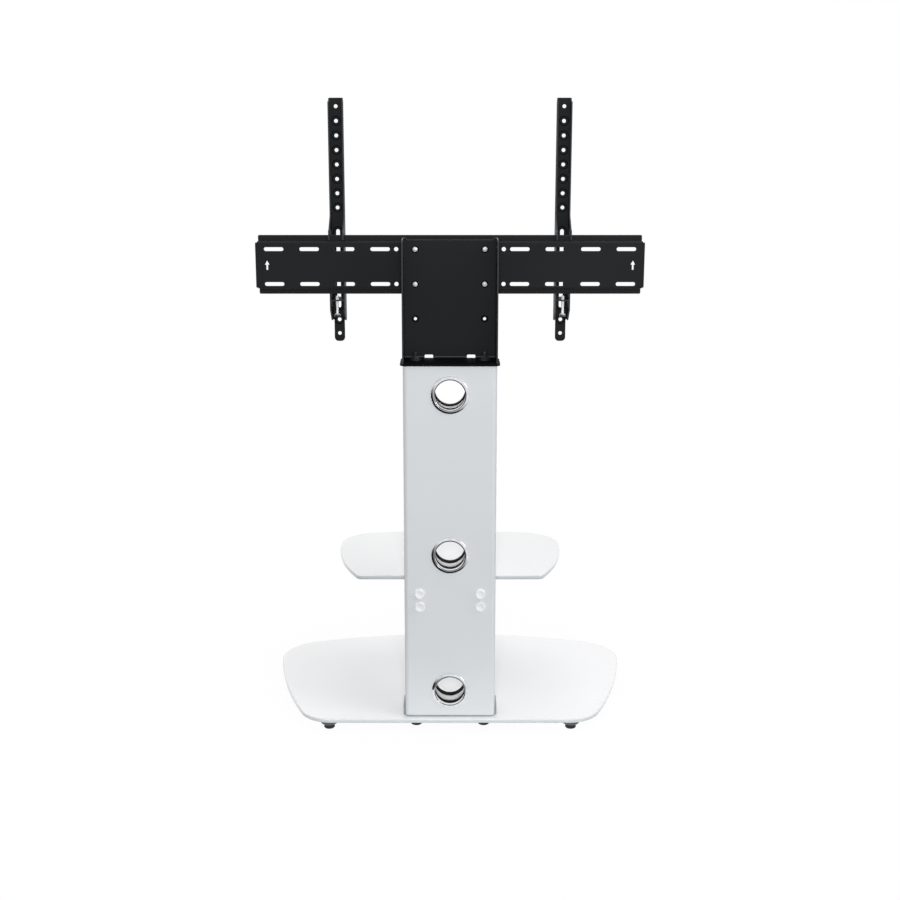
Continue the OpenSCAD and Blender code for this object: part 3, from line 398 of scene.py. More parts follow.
@dataclass
class Sheet:
    """A pierced and folded sheet with rounded rims.

    Its flat pattern is drawn in s, along the fold line, and t, along the bends. A point (s, t) at
    height w over the middle lies at the fold line's point plus w times its normal, moved t along
    the third axis. Each outline is repeated in rings that go round its rim: at the angle f the
    ring is moved in by r (1 - sin f) and lies r (1 - cos f) below the face.

    Attributes:
        fold: middle line of the sheet.
        thickness: its thickness.
        outline: outer outline, counter-clockwise in s and t.
        along: axis that its bends run along.
        holes: outlines of holes, clockwise.
        rim: radius of the rounded rims.
        rings: segments of each rounding.
        creases: loops on the upper face that the relief bends along.
        relief: how much lower than flat the upper face lies at each (s, t).
        tube: whether the sheet closes on itself where its fold line ends.
        parts: finish numbers of the upper face, the lower face, the rims and the relief's slopes.
    """

    fold: FoldLine
    thickness: float
    outline: Array
    along: Along
    holes: Sequence[Array] = ()
    rim: float = 0.4
    rings: int = 3
    creases: Sequence[Array] = ()
    relief: Callable[[Array], Array] | None = None
    tube: bool = False
    parts: tuple[int, int, int, int] = (0, 0, 0, 0)

    def _crossed(self, line: Array, closed: bool) -> Array:
        """Adds a point wherever a line crosses a bend."""
        start = line if closed else line[:-1]
        end = np.roll(line, -1, 0) if closed else line[1:]
        run = end[:, :1] - start[:, :1]
        share = (self.fold.bends[None] - start[:, :1]) / np.where(run == 0, np.inf, run)
        edge, bend = np.nonzero((share > SPLIT) & (share < 1 - SPLIT))
        f = share[edge, bend]
        new = start[edge] + f[:, None] * (end - start)[edge]
        new[:, 0] = self.fold.bends[bend]
        order = np.argsort(np.concatenate([np.arange(len(line)), edge + f]), kind="stable")
        return np.concatenate([line, new])[order]

    def _ring(self, line: Array, closed: bool, distance: float) -> Array:
        """Returns a rim line moved into the material, with a point on each bend that it crosses."""
        return self._crossed(inset(np.asarray(line, float), distance, closed), closed)

    def _bend_edges(self, flat: Array, loops: Sequence[Array]) -> list[tuple[int, int]]:
        """Pairs up the outline points that each bend's lines join across the material."""
        pairs: list[tuple[int, int]] = []
        for s in self.fold.bends:
            on = np.nonzero(np.abs(flat[:, 0] - s) < NEAR)[0]
            on = on[np.argsort(flat[on, 1])]
            if len(on) < 2:
                continue
            middle = (flat[on[:-1]] + flat[on[1:]]) / 2
            keep = inside(middle + [NEAR, 0], loops) | inside(middle - [NEAR, 0], loops)
            pairs += list(zip(on[:-1][keep].tolist(), on[1:][keep].tolist()))
        return pairs

    def _shape(self, flat: Array, w: Array) -> Array:
        """Folds points of the flat pattern, at heights w over the middle."""
        at, normal = self.fold.place(flat[:, 0])
        in_plane = at + normal * w[:, None]
        axes = np.array(self.along.value, float)
        return in_plane @ axes[:2] + flat[:, 1:] * axes[2]

    def _depth(self, flat: Array) -> Array:
        """Returns the relief at points of the flat pattern."""
        return np.zeros(len(flat)) if self.relief is None else self.relief(flat)

    def surface(self) -> Surface:
        """Builds the sheet: both faces triangulated between their outlines, and rims between.

        Returns:
            A closed surface whose faces point outwards.
        """
        outline = np.asarray(self.outline, float)
        rims = [(outline[:2], False), (outline[2:], False)] if self.tube else [(outline, True)]
        rims += [(hole, True) for hole in self.holes]
        edge_lines = [self._ring(line, closed, self.rim) for line, closed in rims]
        outer = 2 if self.tube else 1
        regions = [np.concatenate(edge_lines[:outer])] + edge_lines[outer:]
        flat = np.concatenate(edge_lines + list(self.creases))
        closing = [closed for _, closed in rims] + [True] * len(self.creases)
        edges: list[tuple[int, int]] = []
        start = 0
        for line, closed in zip(edge_lines + list(self.creases), closing):
            number = np.arange(start, start + len(line))
            edges += list(zip(number[:-1].tolist(), number[1:].tolist()))
            edges += [(int(number[-1]), start)] if closed else []
            start += len(line)
        if self.tube:
            low = len(edge_lines[0])
            edges += [(low - 1, low), (low + len(edge_lines[1]) - 1, 0)]
        edges += self._bend_edges(flat[:sum(len(line) for line in edge_lines)], regions)
        found = delaunay_2d_cdt([Vector(p) for p in flat.tolist()], edges, [], 0, NEAR, True)
        number = np.array([origin[0] if origin else -1 for origin in found[3]])
        triangles = number[np.array(found[2])]
        triangles = triangles[inside(flat[triangles].mean(1), regions) & (triangles >= 0).all(1)]
        half = self.thickness / 2
        face, back, edge, slope = self.parts
        top = self._shape(flat, half - self._depth(flat))
        bottom = self._shape(flat, np.full(len(flat), -half))
        none = np.full((len(triangles), 1), -1)
        # Faces on the relief's slopes take their own finish, which the tower and arms use for
        # painted shade.
        sloped = np.ptp(self._depth(flat)[triangles], axis=1) > SLOPE
        upper, lower = np.where(sloped, slope, face), np.full(len(triangles), back)
        pieces = [Surface(top, np.hstack([triangles[:, ::-1], none]), upper),
                  Surface(bottom, np.hstack([triangles, none]), lower)]
        turn = np.radians(np.linspace(0, 90, self.rings + 1))
        for line, closed in rims:
            depth = self._depth(self._ring(line, closed, self.rim))
            rings = [self._ring(line, closed, self.rim * (1 - math.sin(f))) for f in turn]
            drops = [self.rim * (1 - math.cos(f)) for f in turn]
            down = list(zip(rings, drops))
            rows = [self._shape(ring, half - depth - drop) for ring, drop in down]
            rows += [self._shape(ring, np.full(len(ring), drop - half))
                     for ring, drop in down[::-1]]
            faces = grid_faces(len(rows), len(depth), False, closed)
            pieces.append(Surface(np.concatenate(rows), faces, np.full(len(faces), edge)))
        return outward(welded(joined(pieces)))


def flat_sheet(outline: Array, thickness: float, middle: float, holes: Sequence[Array] = (),
               **more: object) -> Sheet:
    """Returns a level sheet drawn in x and y. Its fold line starts a little before the outline.

    Args:
        outline: outer outline in x and y, counter-clockwise.
        thickness: its thickness.
        middle: height of the middle of its thickness.
        holes: outlines of holes in x and y, clockwise.
        more: other values of the sheet.
    """
    low, high = outline[:, 0].min() - 1, outline[:, 0].max() + 1
    start = np.array([low, 0.0])
    return Sheet(FoldLine([(low, middle), (high, middle)]), thickness, outline - start, Along.Y,
                 [hole - start for hole in holes], **more)


# ---------------------------------------------------------------- finishes


def seen(red: float, green: float, blue: float) -> Colour:
    """Returns a colour given as it looks on a display, 0 to 255, in a shader's linear values."""
    c = np.array([red, green, blue]) / 255.0
    c = np.where(c <= 0.04045, c / 12.92, ((c + 0.055) / 1.055) ** 2.4)
    return (float(c[0]), float(c[1]), float(c[2]), 1.0)


class Wires:
    """Shader nodes of a material or of the world, wired by plain calls."""

    def __init__(self, owner: bpy.types.Material | bpy.types.World) -> None:
        """Takes the owner's node tree."""
        owner.use_nodes = True
        self.tree = owner.node_tree

    def add(self, kind: str, inputs: Mapping[str | int, object] | None = None,
            **settings: object) -> bpy.types.Node:
        """Adds a node.

        Args:
            kind: its type.
            inputs: value or output socket for each of its inputs.
            settings: its own settings.

        Returns:
            The node.
        """
        node = self.tree.nodes.new(kind)
        for name, value in settings.items():
            setattr(node, name, value)
        for name, value in (inputs or {}).items():
            self.feed(node.inputs[name], value)
        return node

    def feed(self, socket: bpy.types.NodeSocket, value: object) -> None:
        """Links an output to a socket, or sets the socket's own value."""
        if isinstance(value, bpy.types.NodeSocket):
            self.tree.links.new(value, socket)
        else:
            socket.default_value = value

    def worked(self, operation: str, *values: object, clamp: bool = False) -> bpy.types.NodeSocket:
        """Returns the result of a sum on sockets and numbers."""
        settings = {"operation": operation, "use_clamp": clamp}
        return self.add("ShaderNodeMath", dict(enumerate(values)), **settings).outputs[0]

    def between(self, amount: bpy.types.NodeSocket, low: float, high: float, start: float = 0.3,
                end: float = 0.7) -> bpy.types.NodeSocket:
        """Returns low to high as amount goes from start to end."""
        inputs = {"Value": amount, "From Min": start, "From Max": end, "To Min": low,
                  "To Max": high}
        return self.add("ShaderNodeMapRange", inputs).outputs["Result"]


class Graph(Wires):
    """Node tree of one finish. Its patterns read object coordinates, in metres."""

    def __init__(self, name: str) -> None:
        """Makes a material with its shader."""
        self.material = bpy.data.materials.new(name)
        super().__init__(self.material)
        self.shader = self.tree.nodes["Principled BSDF"]
        self.place = self.add("ShaderNodeTexCoord").outputs["Object"]

    def stretched(self, x: float, y: float, z: float) -> bpy.types.NodeSocket:
        """Returns the place scaled along each axis."""
        inputs = {"Vector": self.place, "Scale": (x, y, z)}
        return self.add("ShaderNodeMapping", inputs).outputs["Vector"]

    def noise(self, scale: float, detail: float = 3.0, place: bpy.types.NodeSocket | None = None,
              rough: float = 0.5) -> bpy.types.NodeSocket:
        """Returns a cloudy pattern from 0 to 1, with scale features in a metre."""
        inputs = {"Vector": place or self.place, "Scale": scale, "Detail": detail,
                  "Roughness": rough}
        return self.add("ShaderNodeTexNoise", inputs).outputs["Fac"]

    def mixed(self, amount: object, first: object, second: object) -> bpy.types.NodeSocket:
        """Returns the mix of two colours."""
        inputs = {0: amount, 6: first, 7: second}
        return self.add("ShaderNodeMix", inputs, data_type="RGBA").outputs[2]

    def bumped(self, height: bpy.types.NodeSocket, distance: float, strength: float = 1.0,
               normal: bpy.types.NodeSocket | None = None) -> bpy.types.NodeSocket:
        """Returns a normal tilted by a height pattern that is distance high, in millimetres."""
        inputs = {"Height": height, "Distance": distance * MM, "Strength": strength}
        if normal is not None:
            inputs["Normal"] = normal
        return self.add("ShaderNodeBump", inputs).outputs["Normal"]

    def finish(self, **values: object) -> bpy.types.Material:
        """Sets the shader's sockets, named with underscores for spaces."""
        for name, value in values.items():
            self.feed(self.shader.inputs[name.replace("_", " ")], value)
        return self.material


@dataclass(frozen=True)
class Finish:
    """What every finish has.

    Attributes:
        name: the material's name.
        slot: the material slot that it stands for; not used.
    """

    name: str
    slot: str

    @cache
    def material(self) -> bpy.types.Material:
        """Returns the finish's material, made once."""
        return self.build()

    def build(self) -> bpy.types.Material:
        """Makes the material."""
        raise NotImplementedError


@dataclass(frozen=True)
class GlassFace(Finish):
    """Upper face of white-backed glass: paint seen through a polished, faintly green slab.

    Attributes:
        tone: main colour.
        deep: colour of its clouds.
    """

    tone: Colour = seen(248, 248, 250)
    deep: Colour = seen(245, 246, 247)

    def build(self) -> bpy.types.Material:
        """Clouds the paint very slightly and puts a clear coat over it."""
        g = Graph(self.name)
        cloud = g.between(g.noise(5.0, 2.0), 0.0, 1.0)
        return g.finish(Base_Color=g.mixed(cloud, self.tone, self.deep),
                        Roughness=g.between(g.noise(90.0), 0.30, 0.38), Coat_Weight=1.0,
                        Coat_Roughness=0.04, Coat_IOR=GLASS_IOR,
                        Normal=g.bumped(g.noise(2.2, 1.0), 0.02, 0.3))


@dataclass(frozen=True)
class GlassEdge(Finish):
    """Polished edge of a glass slab, with a painted highlight above, where it turns into the face,
    and painted shade, grey, below.

    Attributes:
        low: height of the slab's underside in millimetres.
        thickness: thickness of the slab in millimetres.
        stops: shares of the height and the colours there, lighter near the top as a painted
            highlight and darker lower down as painted shade.
        drift: colour that it drifts towards along the edge.
    """

    low: float = 0.0
    thickness: float = 8.0
    stops: tuple[tuple[float, Colour], ...] = (
        (0.0, seen(150, 158, 163)), (0.15, seen(180, 187, 191)), (0.5, seen(196, 202, 205)),
        (0.78, seen(212, 216, 218)), (0.92, seen(232, 235, 236)), (1.0, seen(238, 240, 241)))
    drift: Colour = seen(206, 212, 215)

    def build(self) -> bpy.types.Material:
        """Paints highlight and shade on the edge by its height in the slab, with a little drift
        along it.
        """
        g = Graph(self.name)
        height = g.add("ShaderNodeSeparateXYZ", {"Vector": g.place}).outputs["Z"]
        share = g.between(height, 0.0, 1.0, self.low * MM, (self.low + self.thickness) * MM)
        ramp = g.add("ShaderNodeValToRGB", {"Fac": share})
        elements = ramp.color_ramp.elements
        while len(elements) < len(self.stops):
            elements.new(0.5)
        for element, (place, colour) in zip(elements, self.stops):
            element.position, element.color = place, colour
        drift = g.between(g.noise(18.0, 2.0), 0.0, 0.35)
        return g.finish(Base_Color=g.mixed(drift, ramp.outputs["Color"], self.drift),
                        Roughness=g.between(g.noise(400.0), 0.08, 0.16), Coat_Weight=1.0,
                        Coat_Roughness=0.03, Coat_IOR=GLASS_IOR,
                        Normal=g.bumped(g.noise(260.0, 2.0), 0.01, 0.4))


@dataclass(frozen=True)
class Paint(Finish):
    """Sprayed or powder-coated paint with orange peel and a fine grain.

    Attributes:
        light: colour of the peaks.
        dark: colour of the valleys.
        peel: width of the orange peel in millimetres.
        depth: its depth in millimetres.
        gloss: lowest and highest roughness.
        shine: specular level.
    """

    light: Colour = seen(230, 230, 230)
    dark: Colour = seen(220, 220, 220)
    peel: float = 2.0
    depth: float = 0.01
    gloss: tuple[float, float] = (0.35, 0.45)
    shine: float = 0.5

    def build(self) -> bpy.types.Material:
        """Mixes orange peel, grain and a slow drift of tone."""
        g = Graph(self.name)
        peel = g.noise(1000 / self.peel, 2.0)
        grain = g.noise(5000 / self.peel, 3.0, rough=0.6)
        drift = g.between(g.noise(6.0, 2.0), 0.0, 0.5)
        speck = g.between(grain, 0.0, 0.5, 0.4, 0.75)
        tone = g.mixed(drift, self.light, self.dark)
        normal = g.bumped(peel, self.depth)
        return g.finish(Base_Color=g.mixed(speck, tone, self.dark),
                        Roughness=g.between(grain, *self.gloss), Specular_IOR_Level=self.shine,
                        Normal=g.bumped(grain, self.depth / 2, 0.6, normal))


@dataclass(frozen=True)
class Plated(Finish):
    """Plated metal: polished chrome or zinc.

    Attributes:
        light: colour where it is cleanest.
        dark: colour in its duller clouds.
        gloss: lowest and highest roughness.
        scratch: depth of the fine polishing marks in millimetres.
        turned: whether the marks run round the y axis, as on a spun ring.
        metal: how much of it is bare metal, less where a pale film lies on it.
    """

    light: Colour = seen(232, 233, 236)
    dark: Colour = seen(205, 207, 211)
    gloss: tuple[float, float] = (0.05, 0.12)
    scratch: float = 0.002
    turned: bool = False
    metal: float = 1.0

    def build(self) -> bpy.types.Material:
        """Adds clouds of tone and fine marks to a metal."""
        g = Graph(self.name)
        cloud = g.between(g.noise(120.0, 3.0), 0.0, 1.0)
        stretch = g.stretched(1.0, 30.0, 1.0) if self.turned else g.stretched(1.0, 1.0, 12.0)
        marks = g.noise(700.0, 4.0, stretch)
        return g.finish(Base_Color=g.mixed(cloud, self.light, self.dark), Metallic=self.metal,
                        Roughness=g.between(marks, *self.gloss),
                        Normal=g.bumped(marks, self.scratch, 0.5))


@dataclass(frozen=True)
class Moulded(Finish):
    """Moulded plastic or rubber with a fine skin.

    Attributes:
        light: main colour.
        dark: colour in its pores.
        grain: width of the skin's grain in millimetres.
        depth: depth of the grain in millimetres.
        gloss: lowest and highest roughness.
        coat: weight of a clear gloss over it.
        shine: specular level.
    """

    light: Colour = seen(60, 60, 60)
    dark: Colour = seen(45, 45, 45)
    grain: float = 0.6
    depth: float = 0.01
    gloss: tuple[float, float] = (0.3, 0.45)
    coat: float = 0.0
    shine: float = 0.5

    def build(self) -> bpy.types.Material:
        """Grains the skin with rounded cells and clouds its tone."""
        g = Graph(self.name)
        place = {"Vector": g.place, "Scale": 1000 / self.grain}
        cells = g.add("ShaderNodeTexVoronoi", place).outputs["Distance"]
        cloud = g.between(g.noise(60.0, 3.0), 0.0, 0.6)
        pores = g.between(cells, 0.5, 0.0, 0.0, 0.5)
        return g.finish(Base_Color=g.mixed(pores, g.mixed(cloud, self.light, self.dark), self.dark),
                        Roughness=g.between(g.noise(300.0), *self.gloss), Coat_Weight=self.coat,
                        Coat_Roughness=0.08, Specular_IOR_Level=self.shine,
                        Normal=g.bumped(cells, self.depth, 0.5))


# Heights of the undersides of both glass panels.
BASE_LOW, SHELF_LOW = 16.0, 269.5

BASE_TOP = GlassFace("white_backed_glass", "white_glass")
# A darker copy of the base glass's face for the shelf, which is the same glass: painted shade to
# offset the stronger light on the shelf.
SHELF_TOP_PAINTED_SHADE = GlassFace("white_backed_glass_painted_shade", "white_glass", seen(241, 242, 243),
                      seen(238, 239, 240))
GLASS_BACK = Paint("glass_back_paint", "white_glass", seen(240, 241, 241), seen(232, 234, 234),
                   3.0, 0.006, (0.4, 0.5))
BASE_EDGE = GlassEdge("base_glass_edge", "white_glass", BASE_LOW)
SHELF_EDGE = GlassEdge("shelf_glass_edge", "white_glass", SHELF_LOW)
COLUMN_PAINT = Paint("column_satin_paint", "white_paint", seen(215, 219, 222), seen(209, 213, 217),
                     2.2, 0.012, (0.30, 0.40))
# The inside of the tube is painted lighter than its outside, though it is the same paint: painted
# light inside the tube, seen through the ports.
INSIDE_WALL_PAINTED_LIGHT = Paint("inside_wall_painted_light", "white_paint", seen(252, 252, 253), seen(248, 249, 250),
                    2.2, 0.012, (0.40, 0.50))
INSIDE_PAINT = Paint("inside_paint", "white_paint", seen(206, 208, 211), seen(192, 194, 198),
                     1.4, 0.03, (0.5, 0.62))
BLACK_COAT = Paint("fine_black_coat", "black_powder_coat", seen(35, 36, 38), seen(28, 29, 31),
                   0.9, 0.03, (0.42, 0.55), 0.12)
# Black coat painted much darker: painted shade on the slopes of the dished seats and grooves, and
# over the tower's floor.
BLACK_PAINTED_SHADE = Paint("black_coat_painted_shade", "black_powder_coat", seen(10, 10, 11), seen(7, 7, 8),
                  0.9, 0.02, (0.5, 0.6), 0.05)
# Black coat painted lighter and shinier: a painted highlight along the rounded rims.
BLACK_PAINTED_RIM_HIGHLIGHT = Paint("black_coat_painted_rim_highlight", "black_powder_coat", seen(58, 59, 62), seen(42, 43, 46),
                  0.9, 0.02, (0.42, 0.54), 0.4)
# Black coat painted lighter: a painted highlight along the inner bend between the tower's floor and
# web.
BLACK_PAINTED_BEND_HIGHLIGHT = Paint("black_coat_painted_bend_highlight", "black_powder_coat", seen(64, 65, 68), seen(46, 47, 50),
                   0.9, 0.02, (0.36, 0.48), 0.35)
# Near-black paint in the port rings' grooves and deep in their sleeves: painted shade and painted
# dark reflections in the ports' mouths.
SLEEVE_PAINTED_SHADE = Paint("sleeve_painted_shade", "chrome", seen(22, 23, 24), seen(14, 15, 16), 0.8, 0.01,
                     (0.7, 0.85), 0.12)
CHROME = Plated("port_chrome", "chrome", seen(234, 235, 238), seen(214, 216, 220), (0.05, 0.11),
                0.002, True)
ZINC = Plated("bright_zinc", "zinc", seen(246, 247, 249), seen(234, 236, 239), (0.24, 0.34),
              0.004, metal=0.3)
# Darker zinc for the lock screw's head below its top: painted shade under the head.
ZINC_PAINTED_SHADE = Plated("zinc_painted_shade", "zinc", seen(120, 122, 126), seen(84, 86, 90), (0.30, 0.42),
                     0.006, metal=0.8)
BLACK_ZINC = Plated("black_zinc", "zinc", seen(52, 53, 55), seen(34, 35, 37), (0.28, 0.40), 0.004)
BLACK_STEEL = Plated("blackened_steel", "raw_steel", seen(72, 73, 76), seen(50, 51, 54),
                     (0.34, 0.46), 0.006, metal=0.6)
DARK_ZINC = Plated("dark_zinc", "raw_steel", seen(150, 152, 156), seen(110, 112, 116),
                   (0.30, 0.45), 0.006)
SHOE_PLASTIC = Moulded("shoe_plastic", "dark_plastic", seen(154, 159, 162), seen(136, 141, 144),
                       0.7, 0.01, (0.28, 0.4), 0.2)
DISC_GLOSS = Moulded("foot_disc_gloss", "dark_plastic", seen(74, 82, 84), seen(52, 58, 60),
                     1.2, 0.004, (0.12, 0.2), 0.6)
CAP_PLASTIC = Moulded("cap_plastic", "black_plastic", seen(16, 16, 17), seen(10, 10, 11),
                      0.6, 0.015, (0.55, 0.7), shine=0.1)
RUBBER = Moulded("pad_rubber", "rubber", seen(34, 34, 34), seen(22, 22, 22), 0.5, 0.03, (0.6, 0.8))
NYLON = Moulded("washer_nylon", "nylon", seen(40, 40, 40), seen(30, 30, 30), 0.5, 0.01,
                (0.35, 0.5))
WHITE_PLASTIC = Moulded("white_cap_plastic", "white_plastic", seen(238, 240, 242),
                        seen(230, 232, 234), 0.8, 0.004, (0.20, 0.28), 0.6)
SILICONE = Moulded("bond_silicone", "bond_pad", seen(226, 228, 228), seen(208, 211, 211),
                   1.5, 0.02, (0.3, 0.4))


# ---------------------------------------------------------------- pieces

# Places that pieces of several kinds share.
COLUMN_BACK, COLUMN_FRONT = 204.35, 143.85
BASE_BOLT_X, BASE_BOLT_ROWS = 62.0, (152.1, 196.1)
SHELF_BOLT_X, SHELF_BOLT_ROWS = 54.7, (263.3, 238.9)
STUD_X = 61.0
PLATE_BOLT_X, PLATE_BOLT_ROWS = 61.0, (815.6, 876.5)
LIP_Y, LIP_TOP = 123.75, 899.5
# Diameter and pitch of the base bolts and the tower's studs, and the hole that they pass through.
M8, M8_PITCH, M8_HOLE = 8.0, 1.25, 8.6


def make_piece(name: str, surface: Surface, finishes: Sequence[Finish], node: str,
               body: str = "stand", shading: Shading = Shading.ROUNDED) -> None:
    """Turns a surface into a finished piece of the scene, at the origin with its place in its mesh.

    Args:
        name: the piece's name.
        surface: its shape in millimetres.
        finishes: its finishes, in the order of the surface's part numbers.
        node: the CAD node that it stands for.
        body: the body that it rides on.
        shading: how its normals are made.
    """
    mesh = bpy.data.meshes.new(name)
    points, faces = surface.points * MM, surface.faces
    corners = faces.ravel()
    corners = corners[corners >= 0]
    totals = 3 + (faces[:, 3] >= 0)
    mesh.vertices.add(len(points))
    mesh.vertices.foreach_set("co", points.ravel())
    mesh.loops.add(len(corners))
    mesh.loops.foreach_set("vertex_index", corners)
    mesh.polygons.add(len(faces))
    mesh.polygons.foreach_set("loop_start", np.concatenate([[0], np.cumsum(totals)[:-1]]))
    mesh.polygons.foreach_set("material_index", surface.part)
    mesh.update(calc_edges=True)
    mesh.shade_smooth()
    if shading is Shading.CREASED:
        mesh.set_sharp_from_angle(angle=math.radians(CREASE))
    else:
        areas = face_areas(points, faces)
        normals = np.zeros_like(points)
        for k in range(4):
            used = faces[:, k] >= 0
            np.add.at(normals, faces[used, k], areas[used])
        mesh.normals_split_custom_set_from_vertices(unit(normals * 1e6).tolist())
    for finish in finishes:
        mesh.materials.append(finish.material())
    piece = bpy.data.objects.new(name, mesh)
    bpy.context.scene.collection.objects.link(piece)
    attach(piece, body)
    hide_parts(node)
    LOG.info("%s: %d points, %d faces, on %s", name, len(points), len(faces), body)


def make_turned(name: str, surface: Surface, finishes: Sequence[Finish], node: str,
                body: str = "stand") -> None:
    """Makes a piece that is shaded smooth but split at its creases."""
    make_piece(name, surface, finishes, node, body, Shading.CREASED)


@dataclass
class Thread:
    """A screw thread between two heights.

    Its radius at height z and angle a is the root's plus the depth times a ridge, which rises and
    falls once for each pitch of z less one pitch for each turn of a, and fades in at both ends.

    Attributes:
        diameter: its outer diameter.
        pitch: distance from ridge to ridge.
        low: height at which it starts.
        high: height at which it ends.
        count: number of angles.
        steps: rows in each pitch.
    """

    diameter: float
    pitch: float
    low: float
    high: float
    count: int
    steps: int

    def rows(self) -> tuple[Array, Array]:
        """Returns the radius and the height of each row and angle."""
        number = int((self.high - self.low) / self.pitch * self.steps) + 2
        z = np.linspace(self.low, self.high, number)[:, None]
        turn = np.arange(self.count)[None] / self.count
        share = np.mod(z / self.pitch - turn, 1.0)
        ridge = np.clip(1.5 * (1 - np.abs(2 * share - 1)) - 0.15, 0, 1)
        fade = np.clip(np.minimum(z - self.low, self.high - z) / self.pitch, 0, 1)
        depth = THREAD_DEPTH * self.pitch
        radius = self.diameter / 2 - depth + depth * (ridge * fade)
        return radius, np.broadcast_to(z, radius.shape)


def arc_rows(centre_r: float, centre_z: float, radius: float, start: float, end: float,
             steps: int = 5) -> list[Place]:
    """Returns profile rows on an arc between two angles in degrees, 0 outwards and 90 up."""
    angle = np.radians(np.linspace(start, end, steps + 1))
    r, z = centre_r + radius * np.cos(angle), centre_z + radius * np.sin(angle)
    return list(zip(r.tolist(), z.tolist()))


def groove_rows(radius: float, low: float, depth: float) -> list[Place]:
    """Returns profile rows of a groove 1 mm high round an upright side."""
    steps = ((0.0, 0.0), (depth, 0.3), (depth, 0.7), (0.0, 1.0))
    return [(radius - inwards, low + up) for inwards, up in steps]


def socket_rows(hole: Array, mouth: float, depth: float, cone: float) -> list[Row]:
    """Returns profile rows of a socket in a head's underside, from its coned bottom down."""
    return [(0.0, mouth + depth + cone), (hole, mouth + depth), (hole, mouth + 0.3),
            (hole * 1.06, mouth)]


def hex_nut(flats: float, height: float, bore: float) -> Surface:
    """Returns a hexagon nut on z = 0.

    Each row's radius is the smaller of the hexagon's and that of a 30 degree cone, which gives the
    curved chamfers of a real nut. The cone starts from a bearing face 0.95 of the flats wide.
    """
    count, lip = 72, 0.4
    rise = np.array([0.0, 0.06, 0.12, 0.2, 0.5, 0.8, 0.88, 0.94, 1.0])[:, None] * height
    cone = flats * 0.475 + np.minimum(rise, height - rise) / math.tan(math.radians(30))
    side = np.minimum(hexagon(flats, count)[None], cone)
    return lathe([(bore / 2 + lip, 0.0), (side, rise), (bore / 2 + lip, height),
                   (bore / 2, height - lip), (bore / 2, lip)], count, closed=True)


@dataclass
class DomedScrew:
    """A carriage bolt with a smooth domed head, head up, with the seat on z = 0.

    Attributes:
        head: diameter of its head.
        rise: height of its head.
        shank: diameter of its shank.
        length: length of its shank.
        pitch: pitch of its thread.
    """

    head: float
    rise: float
    shank: float
    length: float
    pitch: float

    def surface(self) -> Surface:
        """Returns the whole bolt as one turned surface.

        From the tip up: a cone, the thread, a plain neck, the seat, the rounded edge of the head
        and a dome, part of a ball whose radius is the sum of the squares of the dome's radius and
        rise over twice its rise.
        """
        count = 48
        edge, rise = self.head / 2 - 0.15, self.rise - 0.4
        ball = (edge ** 2 + rise ** 2) / (2 * rise)
        radius = edge * np.cos(np.radians(np.linspace(0, 90, 10)))
        height = self.rise - ball + np.sqrt(ball ** 2 - radius ** 2)
        thread = Thread(self.shank, self.pitch, -self.length + 0.5, -1.2, count, 6)
        rows = [(0.0, -self.length), (self.shank / 2 - self.pitch * THREAD_DEPTH, -self.length),
                thread.rows(), (self.shank / 2, -1.0), (self.shank / 2, 0.0),
                (self.head / 2 - 0.2, 0.0), (self.head / 2, 0.2)]
        return lathe(rows + list(zip(radius.tolist(), height.tolist())), count)


